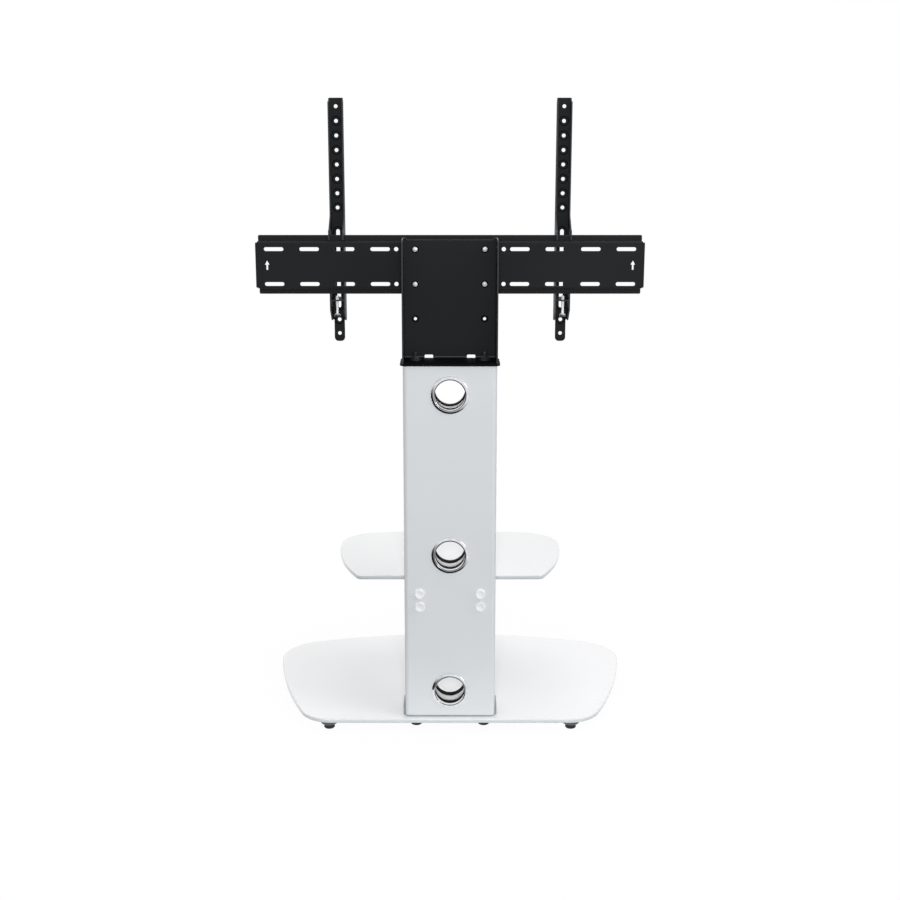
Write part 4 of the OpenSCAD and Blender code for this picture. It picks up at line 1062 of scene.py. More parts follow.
@dataclass
class GlassPanel:
    """A curved glass panel with a polished edge and a white back.

    Attributes:
        name: name of the piece and of its node.
        width: width across the side curves.
        depth: depth from the back edge to the front curve.
        front_r: radius of the front curve.
        side_r: radius of the side curves.
        side_y: distance from the back edge to where the sides are widest.
        front_corner: radius of the front corners.
        back_corner: radius of the back corners.
        back_y: where the back edge lies.
        low: height of the underside.
        face: finish of the upper face.
        edge: finish of the polished edge.
        thickness: its thickness.
        holes: holes as x, y and diameter.
    """

    name: str
    width: float
    depth: float
    front_r: float
    side_r: float
    side_y: float
    front_corner: float
    back_corner: float
    back_y: float
    low: float
    face: Finish
    edge: Finish
    holes: Sequence[tuple[float, float, float]] = ()
    thickness: float = 8.0

    def outline(self) -> Array:
        """Works out the outline from its arcs, counter-clockwise from the middle of its front.

        A corner's circle touches the side circle and the front circle from inside, so its centre
        is as far from each of their centres as their radii less its own.
        """
        front_c = np.array([0.0, self.front_r - self.depth])
        side_c = np.array([self.width / 2 - self.side_r, -self.side_y])
        ra, rb = self.front_r - self.front_corner, self.side_r - self.front_corner
        gap = np.linalg.norm(side_c - front_c)
        along = (ra ** 2 - rb ** 2 + gap ** 2) / (2 * gap)
        u = (side_c - front_c) / gap
        aside = math.sqrt(ra ** 2 - along ** 2) * np.array([u[1], -u[0]]) * np.sign(u[1])
        front_p = front_c + along * u + aside
        reach = (self.side_r - self.back_corner) ** 2 - (self.side_y - self.back_corner) ** 2
        back_p = np.array([side_c[0] + math.sqrt(reach), -self.back_corner])

        def arc(centre: Array, radius: float, start: Array, end: Array, steps: int = 24) -> Array:
            """Returns points on a circle after the direction of start, to that of end."""
            a, b = (math.atan2(*(p - centre)[::-1]) for p in (start, end))
            turn = np.linspace(a, b, steps + 1)[1:]
            return centre + radius * np.column_stack([np.cos(turn), np.sin(turn)])

        side_hi = side_c + self.side_r * unit(back_p - side_c)
        side_lo = side_c + self.side_r * unit(front_p - side_c)
        nose = front_c + self.front_r * unit(front_p - front_c)
        right = np.concatenate([
            arc(front_c, self.front_r, front_c - [0, 1], nose),
            arc(front_p, self.front_corner, nose, side_lo),
            arc(side_c, self.side_r, side_lo, side_hi, 28),
            arc(back_p, self.back_corner, side_hi, back_p + [0, 1])])
        nose_point = np.array([[0.0, -self.depth]])
        return np.concatenate([nose_point, right, right[::-1] * [-1, 1]]) + [0, self.back_y]

    def build(self) -> None:
        """Builds the panel with its three finishes."""
        holes = [circle(x, y, d, 32) for x, y, d in self.holes]
        sheet = flat_sheet(self.outline(), self.thickness, self.low + self.thickness / 2, holes,
                           rim=1.4, rings=5, parts=(0, 2, 1, 0))
        make_piece(self.name + "_slab", sheet.surface(), (self.face, self.edge, GLASS_BACK),
                   self.name)


@dataclass
class Feet:
    """Four feet: a glossy disc bonded under the glass and a ribbed rubber pad on each.

    Attributes:
        back: distance of the back feet from the middle line, and where they lie.
        front: the same for the front feet.
        disc: diameter of the discs.
        pad: diameter of the pads.
        pad_h: height of the pads.
        top: height of the discs' upper faces.
        screw: height of the shoulder in a pad that its screw's head bears on.
    """

    back: tuple[float, float] = (223.5, 197.65)
    front: tuple[float, float] = (290.0, -129.65)
    disc: float = 32.0
    pad: float = 20.0
    pad_h: float = 10.0
    top: float = BASE_LOW
    screw: float = 4.25

    def disc_surface(self) -> Surface:
        """Returns a disc with rounded edges, a groove round its rim and a hole for a screw."""
        r, low = self.disc / 2, self.pad_h
        rows = [(0.0, low + 4.8), (2.55, low + 4.8), (2.55, low + 0.3), (2.9, low)]
        rows += arc_rows(r - 1.6, low + 1.6, 1.6, -90, 0) + groove_rows(r, low + 3.0, 0.35)
        rows += arc_rows(r - 0.6, self.top - 0.6, 0.6, 0, 90, 3) + [(0.0, self.top)]
        return lathe(rows, 64)

    def pad_surface(self) -> Surface:
        """Returns a pad with a rounded foot, two grooves round its side and a screw recess."""
        r = self.pad / 2
        rows = [(4.75, 0.3), (5.05, 0.0)] + arc_rows(r - 2.5, 2.5, 2.5, -90, 0, 6)
        rows += groove_rows(r, 4.6, 0.4) + groove_rows(r, 7.2, 0.4)
        rows += arc_rows(r - 0.5, self.pad_h - 0.5, 0.5, 0, 90, 3)
        rows += [(2.7, self.pad_h), (2.7, self.screw), (4.7, self.screw)]
        return lathe(rows, 64, closed=True)

    def build(self) -> None:
        """Builds a disc and a pad at each foot."""
        kinds = (("disc", self.disc_surface(), DISC_GLOSS), ("pad", self.pad_surface(), RUBBER))
        for row, (x, y) in (("back", self.back), ("front", self.front)):
            for side in Side:
                tail = f"{row}_{side.name.lower()}"
                for kind, surface, finish in kinds:
                    make_turned(f"{kind}_{tail}", surface.moved((side.value * x, y, 0)), (finish,),
                                f"foot_{kind}_{tail}")


@dataclass
class Column:
    """Painted tube with cable ports, standing in a plastic shoe under a black cap.

    Attributes:
        x: half its width.
        back: where its back face lies.
        front: where its front face lies.
        low: height of its foot.
        high: height of its top.
        wall: wall of the tube.
        corner: outer radius of its corners.
        ports: heights of the cable ports.
        bore: bore of the ports' rings.
        flange: diameter of the rings' flanges.
        sleeve: how deep the rings' sleeves are.
        ear: height of the ears on both sides of the shoe.
        margin: how far the cap stands out all round.
    """

    x: float = 82.5
    back: float = COLUMN_BACK
    front: float = COLUMN_FRONT
    low: float = 27.0
    high: float = 680.6
    wall: float = 2.0
    corner: float = 8.0
    ports: tuple[float, float, float] = (75.4, 335.5, 628.7)
    bore: float = 53.7
    flange: float = 67.5
    sleeve: float = 17.0
    ear: float = 45.0
    margin: float = 4.9

    @property
    def middle(self) -> float:
        """Where the column's middle lies from front to back."""
        return (self.back + self.front) / 2

    def tube(self) -> Surface:
        """Returns the tube: a sheet folded round four corners, closed in the middle of a side."""
        inner = self.wall / 2
        x, front, back = self.x - inner, self.front + inner, self.back - inner
        y = self.middle
        fold = FoldLine([(-x, y), (-x, front), (x, front), (x, back), (-x, back), (-x, y)],
                        self.corner - inner, 8)
        holes = []
        for middle in (fold.at(1, x), fold.at(3, x)):
            holes += [circle(middle, z, self.bore + 4.4, 72) for z in self.ports]
            holes += [circle(middle + side.value * SHELF_BOLT_X, z, 6.4, 24)
                      for z in SHELF_BOLT_ROWS for side in Side]
        outline = np.array(box(0.0, self.low, float(fold.length[-1]), self.high))
        # The inner face, part 1, takes the lighter inside paint as painted light.
        return Sheet(fold, self.wall, outline, Along.Z, holes, rim=0.45, tube=True,
                     parts=(1, 0, 0, 0)).surface()

    def ring(self) -> Surface:
        """Returns a port ring on z = 0: a bright flange round a groove and a bright lip, with a
        sleeve below that is bright in its mouth. The groove and the sleeve further in are
        near-black, as painted shade."""
        bore, flange, mouth = self.bore / 2, self.flange / 2, 4.4
        lip = [(bore, -mouth)] + arc_rows(bore + 0.5, 2.0, 0.5, 180, 90, 4)
        groove = [(bore + 0.6, 1.7), (bore + 1.5, 1.7), (bore + 1.6, 2.8)]
        face = [(bore + 1.8, 2.97), (bore + 2.2, 3.0), (bore + 3.4, 2.86), (bore + 4.9, 2.56)]
        face += arc_rows(flange - 1.6, 0.8, 1.6, 72, 0, 7) + [(flange, 0.2), (flange - 0.2, 0.0)]
        end = -self.sleeve
        sleeve = [(bore + 2.0, 0.0), (bore + 2.0, end + 0.3), (bore + 1.7, end), (bore, end)]
        rows = lip + groove + face + sleeve
        # Part 1, the painted shade, covers the groove and the sleeve beyond its mouth.
        part = np.zeros(len(rows), int)
        part[len(lip) - 1:len(lip) + len(groove) - 1] = 1
        part[-len(sleeve):] = 1
        return lathe(rows, 96, closed=True, part=part)

    def shoe(self) -> Surface:
        """Returns the shoe: a thin plate that is turned up into an ear on each side."""
        t, depth, foot = 2.9, self.back - self.front, 25.5
        x = self.x + 0.45 + t / 2
        fold = FoldLine([(-x, self.ear), (-x, foot), (x, foot), (x, self.ear)], t / 2 + 0.35, 5)
        c, end, plate = fold.at(1, x), float(fold.length[-1]), self.x - 2.0
        corners = stepped(c - plate, c + plate, end, depth / 2 - self.corner, depth / 2)
        outline = rounded(corners, [5, 0, 6, 6, 0, 5] * 2) + [0, self.middle]
        holes = [circle(s, self.middle + y, M8_HOLE, 24)
                 for s, y in both_sides(BASE_BOLT_X, (-22.0, 22.0), c)]
        return Sheet(fold, t, outline, Along.Y, holes, rim=0.7).surface()

    def cap(self) -> Surface:
        """Returns the black cap between the column and the tower."""
        half, deep, t = self.x + self.margin, (self.back - self.front) / 2 + self.margin, 3.0
        outline = rounded(box(-half, -deep, half, deep), 10.0, 10) + [0, self.middle]
        holes = [circle(x, y, M8_HOLE, 24) for x, y in both_sides(STUD_X, (self.middle,))]
        return flat_sheet(outline, t, self.high + t / 2, holes, rim=0.9, rings=4).surface()

    def bolt_cap(self) -> Surface:
        """Returns a white cap on z = 0 with a rounded rim and a dished face."""
        r, h = 9.5, 5.0
        dish = np.linspace(1.0, 0.0, 7).tolist()
        rows = [(r, 0.0)] + arc_rows(r - 1.9, h - 1.9, 1.9, 0, 90, 8)
        rows += [((r - 2.5) * s, h - 1.25 * (1 - s * s) - 0.06) for s in dish]
        return lathe(rows + [(0.0, 3.1), (5.7, 3.1), (5.7, 0.0)], 56, closed=True)

    def build(self) -> None:
        """Builds the tube, its rings, shoe, cap and bolt caps."""
        make_piece("column_tube_folded", self.tube(), (COLUMN_PAINT, INSIDE_WALL_PAINTED_LIGHT), "column_tube")
        ring = self.ring()
        for z, height in zip(self.ports, ("low", "middle", "top")):
            for facing, y in ((Facing.BACK, self.back), (Facing.FRONT, self.front)):
                tail = f"{facing.name.lower()}_{height}"
                make_turned(f"port_ring_{tail}", ring.turned(facing, (0, y, z)),
                            (CHROME, SLEEVE_PAINTED_SHADE), f"cable_ring_{tail}")
        make_piece("shoe_moulded", self.shoe(), (SHOE_PLASTIC,), "column_shoe")
        make_piece("top_cap_moulded", self.cap(), (CAP_PLASTIC,), "top_cap")
        caps = [self.bolt_cap().turned(Facing.BACK, (x, self.back, z))
                for x, z in both_sides(SHELF_BOLT_X, SHELF_BOLT_ROWS)]
        make_turned("bolt_caps_dished", joined(caps), (WHITE_PLASTIC,), "shelf_bolt_caps")


@dataclass
class BaseBolts:
    """Flat-headed bolts under the base glass, each with a hexagon socket and a nylon washer.

    Attributes:
        low: height of their heads' faces.
        seat: height of their heads' seats, on which the washers lie.
        top: height of their tips.
        head: radius of their heads.
    """

    low: float = 7.0
    seat: float = 13.5
    top: float = 35.25
    head: float = 10.5

    def bolt(self) -> Surface:
        """Returns a bolt in place on its own axis, socket down."""
        count, r, shank = 72, self.head, M8 / 2
        thread = Thread(M8, M8_PITCH, self.seat + 11.0, self.top - 0.6, count, 5)
        rows = socket_rows(hexagon(5.0, count)[None], self.low, 3.1, 0.3)
        rows += arc_rows(r - 2.0, self.low + 2.0, 2.0, -90, 0, 6)
        rows += [(r, self.seat - 0.4), (r - 0.4, self.seat), (shank, self.seat),
                 (shank, self.seat + 10.8), thread.rows(), (3.2, self.top), (0.0, self.top)]
        return lathe(rows, count)

    def washer(self) -> Surface:
        """Returns a nylon washer with rounded edges in place on its own axis."""
        r, edge, bore = 12.0, 0.8, 4.2
        rows = arc_rows(r - edge, self.seat + edge, edge, -90, 0, 3)
        rows += arc_rows(r - edge, BASE_LOW - edge, edge, 0, 90, 3)
        return lathe(rows + [(bore, BASE_LOW), (bore, self.seat)], 48, closed=True)

    def build(self) -> None:
        """Builds the four bolts as one piece and their washers as another."""
        places = both_sides(BASE_BOLT_X, BASE_BOLT_ROWS)
        for name, surface, finish in (("base_bolts", self.bolt(), BLACK_ZINC),
                                      ("base_bolt_washers", self.washer(), NYLON)):
            placed = joined([surface.moved((*place, 0)) for place in places])
            make_turned(name + "_turned", placed, (finish,), name)


@dataclass
class ShelfBracket:
    """Bracket under the shelf: a flange against the column and a tray with two tapered ribs.

    Attributes:
        top: height of its upper face.
        flange_h: height of the flange.
        width: its width.
        reach: how far it reaches forwards of the column.
        rib: how much lower than its tray the ribs' front ends lie.
    """

    top: float = 268.0
    flange_h: float = 36.5
    width: float = 140.0
    reach: float = 170.0
    rib: float = 9.0

    def flange(self) -> Surface:
        """Returns the flange, an upright sheet drawn in x and z."""
        half, y = self.width / 2, COLUMN_FRONT - 2.0
        c = half + 1
        outline = rounded(box(1, self.top - self.flange_h, 2 * half + 1, self.top), 3.0)
        holes = [circle(s, z, 6.2, 24) for s, z in both_sides(SHELF_BOLT_X, SHELF_BOLT_ROWS, c)]
        return Sheet(FoldLine([(-c, y), (c, y)]), 3.9, outline, Along.Z, holes, rim=0.5).surface()

    def tray(self) -> Surface:
        """Returns the tray: a sheet folded down along both sides, with ribs that taper forwards."""
        t = 2.5
        half, top, low = self.width / 2 - t / 2, self.top - t / 2, self.top - self.flange_h
        fold = FoldLine([(-half, low), (-half, top), (half, top), (half, low)], t / 2 + 1.5, 6)
        end, drop = float(fold.length[-1]), self.flange_h - self.rib
        back, front, taper = COLUMN_FRONT - 4.1, COLUMN_FRONT - self.reach, COLUMN_FRONT - 28.1
        outline = rounded([(drop, front), (end - drop, front), (end, taper), (end, back), (0, back),
                           (0, taper)], [3, 3, 6, 2, 2, 6])
        return Sheet(fold, t, outline, Along.Y, rim=0.5).surface()

    def build(self) -> None:
        """Builds both sheets as one piece."""
        make_piece("shelf_bracket_folded", joined([self.flange(), self.tray()]), (COLUMN_PAINT,),
                   "shelf_bracket")


@dataclass
class Tower:
    """Black folded tower on the column: a web, two flanges and a floor held by two studs.

    Attributes:
        x: half its width.
        front: where its web's front lies.
        back: where its flanges end.
        low: height of its floor's underside.
        web_top: height of its web's top.
        flange_top: height of its flanges' tops.
        sheet: thickness of its sheet.
        rows_z: heights of the rows of holes in its web, the lowest spare.
        notch: distance of the notches from the middle line.
        notch_half: half the width of a notch.
        groove_r: radius of the groove pressed round each hole.
        groove_half: half the width of that groove.
        stud_low: height of the studs' feet.
        stud_top: height of their tips.
        washer: thickness of their washers.
    """

    x: float = 83.25
    front: float = 143.9
    back: float = 204.3
    low: float = 683.6
    web_top: float = 893.0
    flange_top: float = 897.0
    sheet: float = 2.5
    rows_z: tuple[float, ...] = (754.7, *PLATE_BOLT_ROWS)
    notch: float = 37.5
    notch_half: float = 7.5
    groove_r: float = 5.4
    groove_half: float = 1.1
    stud_low: float = 675.6
    stud_top: float = 701.1
    washer: float = 1.6

    @property
    def studs(self) -> list[Place]:
        """Where the studs stand."""
        return both_sides(STUD_X, ((self.front + self.back) / 2,))

    def notches(self, middle: float, edge: float, end: float) -> list[Place]:
        """Returns the corners of both notches, which go from an edge of the sheet to their end."""
        n = self.notch_half
        return [corner for m, _ in both_sides(self.notch, (edge,), middle)
                for corner in ((m - n, edge), (m - n, end), (m + n, end), (m + n, edge))]

    def shell(self) -> Surface:
        """Returns the web and flanges: one sheet folded twice, with notches at its web's foot."""
        half = self.sheet / 2
        x, web = self.x - half, self.front + half
        fold = FoldLine([(-x, self.back), (-x, web), (x, web), (x, self.back)], half + 1.6, 7)
        c, end, turn = fold.at(1, x), float(fold.length[-1]), fold.at(1, 4.2)
        low, top, step = self.low, self.flange_top, self.web_top
        corners = [(0, low), *self.notches(c, low, low + 7), (end, low), (end, top),
                   (end - turn + 0.5, top), (end - turn - 3.5, step), (turn + 3.5, step),
                   (turn - 0.5, top), (0, top)]
        radii = [1.5] + [0.8, 2.0, 2.0, 0.8] * 2 + [1.5, 4.0, 1.0, 1.0, 1.0, 1.0, 4.0]
        seats = np.array(both_sides(PLATE_BOLT_X, self.rows_z, c))

        def groove(flat: Array) -> Array:
            """Returns the depth of the groove round each hole: a parabola about its middle line."""
            away = np.linalg.norm(flat[:, None] - seats[None], axis=2).min(1)
            return np.clip(1 - ((away - self.groove_r) / self.groove_half) ** 2, 0, 1)

        holes = [circle(s, z, 5.4, 28) for s, z in seats]
        creases = [circle(s, z, 2 * (self.groove_r + e), 28)[::-1]
                   for s, z in seats for e in (-self.groove_half, 0.0, self.groove_half)]
        # Rims take the painted rim highlight, and the grooves' slopes the painted shade.
        return Sheet(fold, self.sheet, rounded(corners, radii), Along.Z, holes, rim=0.45,
                     creases=creases, relief=groove, parts=(0, 0, 1, 2)).surface()

    def floor(self) -> Surface:
        """Returns the floor, a level sheet that meets the web between its notches."""
        t, web, x = self.sheet - 0.1, self.front + self.sheet + 0.05, self.x - self.sheet - 0.15
        holes = [circle(*place, M8_HOLE, 28) for place in self.studs]
        corners = [(-x, web), *self.notches(0.0, web, self.front + 7), (x, web), (x, self.back),
                   (-x, self.back)]
        outline = rounded(corners, [0.6] + [0.6, 2, 2, 0.6] * 2 + [0.6, 1.5, 1.5])
        # The whole floor, rims and all, takes the darker black as painted shade.
        return flat_sheet(outline, t, self.low + t / 2, holes, rim=0.45,
                          parts=(2, 2, 2, 2)).surface()

    def throats(self) -> Surface:
        """Returns the inner bend between floor and web as three strips, painted lighter as a
        painted highlight.

        Each is a prism along x whose section is a square corner less a quarter of a circle.
        """
        corner, r = np.array([self.front + self.sheet - 0.1, self.low + self.sheet - 0.2]), 2.6
        turn = np.radians(np.linspace(180, 270, 9))
        curve = np.column_stack([np.cos(turn), np.sin(turn)])
        section = np.vstack([corner + r + r * curve, corner])
        near, far = self.notch - self.notch_half - 0.1, self.notch + self.notch_half + 0.1
        side, n = self.x - self.sheet - 0.1, len(section)
        strips = []
        for a, b in ((-side, -far), (-near, near), (far, side)):
            rows = ((a, corner), (a, section), (b, section), (b, corner))
            points = np.vstack([np.column_stack([np.full(n, x), np.broadcast_to(yz, (n, 2))])
                                for x, yz in rows])
            faces = grid_faces(len(rows), n, False, True)
            strips.append(outward(welded(Surface(points, faces, np.full(len(faces), 3)))))
        return joined(strips)

    def stud(self) -> Surface:
        """Returns a threaded stud in place on its own axis."""
        low, high, r, count = self.stud_low, self.stud_top, M8 / 2, 48
        thread = Thread(M8, M8_PITCH, low + 5.2, high - 0.8, count, 8)
        return lathe([(0.0, low), (r, low), (r, low + 5.0), thread.rows(), (3.1, high),
                       (0.0, high)], count)

    def washer_surface(self) -> Surface:
        """Returns a washer with softened edges in place on its own axis."""
        low, r, bore = self.low + self.sheet, 10.0, 4.2
        high = low + self.washer
        return lathe([(bore, low + 0.2), (bore + 0.2, low), (r - 0.3, low), (r, low + 0.3),
                       (r, high - 0.5), (r - 0.4, high), (bore + 0.3, high), (bore, high - 0.3)],
                      56, closed=True)

    def build(self) -> None:
        """Builds the folded steel and its fasteners."""
        make_piece("tower_folded", joined([self.shell(), self.floor(), self.throats()]),
                   (BLACK_COAT, BLACK_PAINTED_RIM_HIGHLIGHT, BLACK_PAINTED_SHADE, BLACK_PAINTED_BEND_HIGHLIGHT), "tower")
        nut = hex_nut(13.0, 6.5, 8.1).moved((0, 0, self.low + self.sheet + self.washer))
        for name, node, surface, make in (
                ("tower_studs_threaded", "tower_studs", self.stud(), make_piece),
                ("tower_washers_turned", "tower_washers", self.washer_surface(), make_turned),
                ("tower_nuts_chamfered", "tower_nuts", nut, make_turned)):
            placed = joined([surface.moved((*place, 0)) for place in self.studs])
            make(name, placed, (BLACK_STEEL,), node)


@dataclass
class SlottedPlate:
    """Black plate across the tower: a flat face with slots, and a stepped lip above and below.

    Attributes:
        half: half its width.
        lip_half: half the width of its lips.
        face_y: where the middle of its face's sheet lies.
        lip_y: where the middle of its lips' sheet lies.
        lip_top: height of the upper lip's edge.
        step_top: height of the upper step.
        step_low: height of the lower step.
        lip_low: height of the lower lip's edge.
        sheet: thickness of its sheet.
        round_x: distance of its round holes from the middle line.
        slots_x: distances of its slots from the middle line.
        slot: length and width of a slot.
        arrow_x: distance of its arrows from the middle line.
        bolt_y: where the seats of the bolts' heads lie.
        nut_y: where the seats of the nuts lie.
    """

    half: float = 340.25
    lip_half: float = 337.25
    face_y: float = 142.65
    lip_y: float = LIP_Y
    lip_top: float = LIP_TOP
    step_top: float = 888.15
    step_low: float = 808.95
    lip_low: float = 796.1
    sheet: float = 2.5
    round_x: float = 94.0
    slots_x: tuple[float, ...] = (122.0, 184.0, 246.0, 308.0)
    slot: tuple[float, float] = (34.0, 6.6)
    arrow_x: float = 320.0
    bolt_y: float = 146.4
    nut_y: float = 141.4

    def arrow(self, s: float, t: float) -> Array:
        """Returns the cut-out of an arrow that points up the plate, clockwise."""
        h, w = 16.0, 1.5
        right = [(h / 4, h / 16), (w, h / 16), (w, -h / 2)]
        up = np.array([(0, h / 2), *right, *[(-x, z) for x, z in right[::-1]]])
        return np.column_stack([s - up[:, 1], t + up[:, 0]])

    def surface(self) -> Surface:
        """Returns the plate: one sheet with four bends, drawn from its upper lip down.

        The pattern's s runs down the lips, steps and face, and its t is x.
        """
        fold = FoldLine([(self.lip_y, self.lip_top), (self.lip_y, self.step_top),
                         (self.face_y, self.step_top), (self.face_y, self.step_low),
                         (self.lip_y, self.step_low), (self.lip_y, self.lip_low)],
                        self.sheet / 2 + 0.5, 6)
        a, b = fold.at(2, 0.6), fold.at(2, self.step_top - self.step_low - 0.6)
        corners = stepped(a, b, float(fold.length[-1]), self.lip_half, self.half)
        holes: list[Array] = []
        for z in PLATE_BOLT_ROWS:
            s = fold.at(2, self.step_top - z)
            for side in Side:
                holes += [circle(s, side.value * PLATE_BOLT_X, 5.4, 28),
                          circle(s, side.value * self.round_x, 7.4, 32)]
                holes += [long_hole(s, side.value * x, *self.slot) for x in self.slots_x]
        s = fold.at(2, (self.step_top - self.step_low) / 2)
        holes += [self.arrow(s, side.value * self.arrow_x) for side in Side]
        outline = rounded(corners, [2.5, 0, 1.2, 1.2, 0, 2.5] * 2)
        # Rims take the painted rim highlight.
        return Sheet(fold, self.sheet, outline, Along.X, holes, rim=0.5,
                     parts=(0, 0, 1, 0)).surface()

    def build(self) -> None:
        """Builds the plate, and its bolts and nuts."""
        make_piece("slotted_plate_folded", self.surface(), (BLACK_COAT, BLACK_PAINTED_RIM_HIGHLIGHT), "wall_plate")
        screw, nut = DomedScrew(8.7, 2.8, 5.0, 9.15, 0.8).surface(), hex_nut(8.0, 4.0, 5.1)
        for name, node, surface, facing, y in (
                ("plate_bolts_domed", "plate_bolts", screw, Facing.BACK, self.bolt_y),
                ("plate_nuts_chamfered", "plate_nuts", nut, Facing.FRONT, self.nut_y)):
            placed = [surface.turned(facing, (x, y, z))
                      for x, z in both_sides(PLATE_BOLT_X, PLATE_BOLT_ROWS)]
            make_turned(name, joined(placed), (ZINC,), node)


@dataclass
class Arm:
    """One upright arm with its lock tab and lock screw.

    Attributes:
        side: the side that it is on.
        x: distance of its middle from the middle line.
        front: where its web's front lies.
        sheet: thickness of its sheet.
        width: its width.
        top: height of its highest screw hole.
        low: height of its lowest screw hole.
        pitch: distance between its dished holes.
        slot: heights of the middles of its long slot's two ends.
        hole: diameter of its holes and width of its slot.
        seat: diameter of the dished seats.
        seat_depth: depth of the seats.
        flange_y: where the flanges' edges lie above and below the hook.
        hook_y: where the hook starts, and both faces of the finger behind the lip.
        flange_low: height of the flanges' low ends.
        tab_z: height of the middle of the lock tab's sheet.
        screw_low: height of the lock screw's head.
        screw_tip: height of its tip.
        knob: radius of its head.
    """

    side: Side
    x: float = 200.0
    front: float = 78.0
    sheet: float = 2.5
    width: float = 27.0
    top: float = 1119.1
    low: float = 719.1
    pitch: float = 25.0
    slot: tuple[float, float] = (769.1, 902.6)
    hole: float = 6.6
    seat: float = 17.0
    seat_depth: float = 1.0
    flange_y: float = 92.0
    hook_y: tuple[float, float, float] = (122.1, 125.4, 131.4)
    flange_low: float = 744.1
    tab_z: float = 784.6
    screw_low: float = 756.0
    screw_tip: float = 792.6
    knob: float = 5.8

    @property
    def seats(self) -> list[float]:
        """Heights of the dished holes: seven below the highest hole, and one above the lowest."""
        return [self.top - self.pitch * i for i in range(1, 8)] + [self.low + self.pitch]

    def channel(self) -> Surface:
        """Returns the arm: a sheet folded into a channel, with hooks on both flanges.

        The pattern's s runs across one flange, the web and the other flange, and its t is z. Each
        dished hole lowers the back of the web by a smooth step from the seat's rim inwards.
        """
        half, end, shoulder = self.sheet / 2, 14.5, 8.5
        w, web, far = self.width / 2 - half, self.front + half, 132.0
        fold = FoldLine([(-w, far), (-w, web), (w, web), (w, far)], half + 1.5, 6)
        c = fold.at(1, w)
        edge, (near, inside_y, outside_y) = self.flange_y, self.hook_y
        rest, tip = LIP_TOP + 0.4, LIP_TOP - 9.5
        hook = [(edge, self.flange_low), (near, self.flange_low + 22), (near, rest),
                (inside_y, rest), (inside_y, tip), (outside_y, tip), (outside_y, rest + 6),
                (outside_y - 3, rest + 9), (near, rest + 9), (edge, rest + 31),
                (edge, self.top + shoulder)]
        hook_radii = [4, 3, 1.2, 1.0, 1.5, 1.5, 2, 2, 6, 6, 3]
        right = [(fold.at(2, y - web), z) for y, z in hook]
        left = [(fold.at(0, far - y), z) for y, z in hook[::-1]]
        flat, crown = w - half - 1.6, w + 0.4
        tongue_z, crown_z, shoulder_z = self.low - end, self.top + end, self.top + shoulder
        corners = [(c - flat, self.flange_low), (c - flat, tongue_z), (c + flat, tongue_z),
                   (c + flat, self.flange_low), *right, (c + crown, shoulder_z),
                   (c + crown, crown_z), (c - crown, crown_z), (c - crown, shoulder_z), *left]
        radii = [1.0, 7.0, 7.0, 1.0] + hook_radii + [1.0, 2.2, 2.2, 1.0] + hook_radii[::-1]
        slot_z, span = sum(self.slot) / 2, self.slot[1] - self.slot[0]
        holes = [circle(c, z, self.hole, 36) for z in self.seats + [self.top, self.low]]
        holes.append(long_hole(c, slot_z, span + self.hole, self.hole))
        inner, outer = self.seat - 2.8, self.seat + 0.2
        widths = (inner, (inner + outer) / 2, outer)
        creases = [circle(c, z, d, 36)[::-1] for z in self.seats for d in widths]
        creases += [long_hole(c, slot_z, span + d, d)[::-1] for d in widths]

        def dish(points: Array) -> Array:
            """Returns the seat's depth: a smooth step of the distance from the nearest hole."""
            across, up = points[:, :1] - c, points[:, 1:]
            past = np.maximum(np.abs(up[:, 0] - slot_z) - span / 2, 0)
            away = np.minimum(np.hypot(across, up - np.array(self.seats)).min(1),
                              np.hypot(across[:, 0], past))
            share = np.clip((outer / 2 - away) / ((outer - inner) / 2), 0, 1)
            return self.seat_depth * share * share * (3 - 2 * share)

        # The seats' slopes take the painted shade, and the rims the painted rim highlight.
        return Sheet(fold, self.sheet, rounded(corners, radii), Along.Z, holes, creases=creases,
                     relief=dish, parts=(0, 0, 1, 2)).surface()

    def tab(self) -> Surface:
        """Returns the tab between the flanges that the lock screw is threaded through."""
        x, thickness = 10.95, 2.0
        outline = rounded(box(-x, self.front + 2.7, x, LIP_Y + 6.0), [0.6, 0.6, 4, 4], 6)
        # Rims take the painted rim highlight.
        return flat_sheet(outline, thickness, self.tab_z, [circle(0, LIP_Y, 6.1, 32)],
                          parts=(0, 0, 1, 0)).surface()

    def screw(self) -> Surface:
        """Returns the lock screw: a ribbed head with a socket below, a slim neck, a thread and a
        blunt tip above.

        The head's side is its radius less a small wave of the angle.
        """
        count = 96
        angle = np.arange(count) * (2 * np.pi / count)
        rib = (0.16 * np.abs(np.sin(12 * angle)) - 0.16)[None]
        low, tip, r, neck = self.screw_low, self.screw_tip, self.knob, 2.35
        high = low + 5.6
        thread = Thread(6.0, 1.0, low + 23.0, tip - 0.7, count, 6)
        head = socket_rows(hexagon(5.0, count)[None], low, 3.0, 0.2) + [
            (r - 0.9, low), (r - 0.25, low + 0.35), (r + rib, low + 0.9), (r + rib, high - 2.6)]
        rows = head + [(r - 0.3, high - 2.0), (r - 1.4, high - 1.2), (r - 2.4, high - 0.6),
                       (neck + 0.5, high), (neck, high + 0.8), (neck, low + 22.0), thread.rows(),
                       (2.3, tip), (0.0, tip)]
        # The head, from its socket to its ribbed side, takes the darker zinc as painted shade.
        part = [1] * len(head) + [0] * (len(rows) - len(head))
        return lathe(rows, count, part=part).moved((0, LIP_Y, 0))

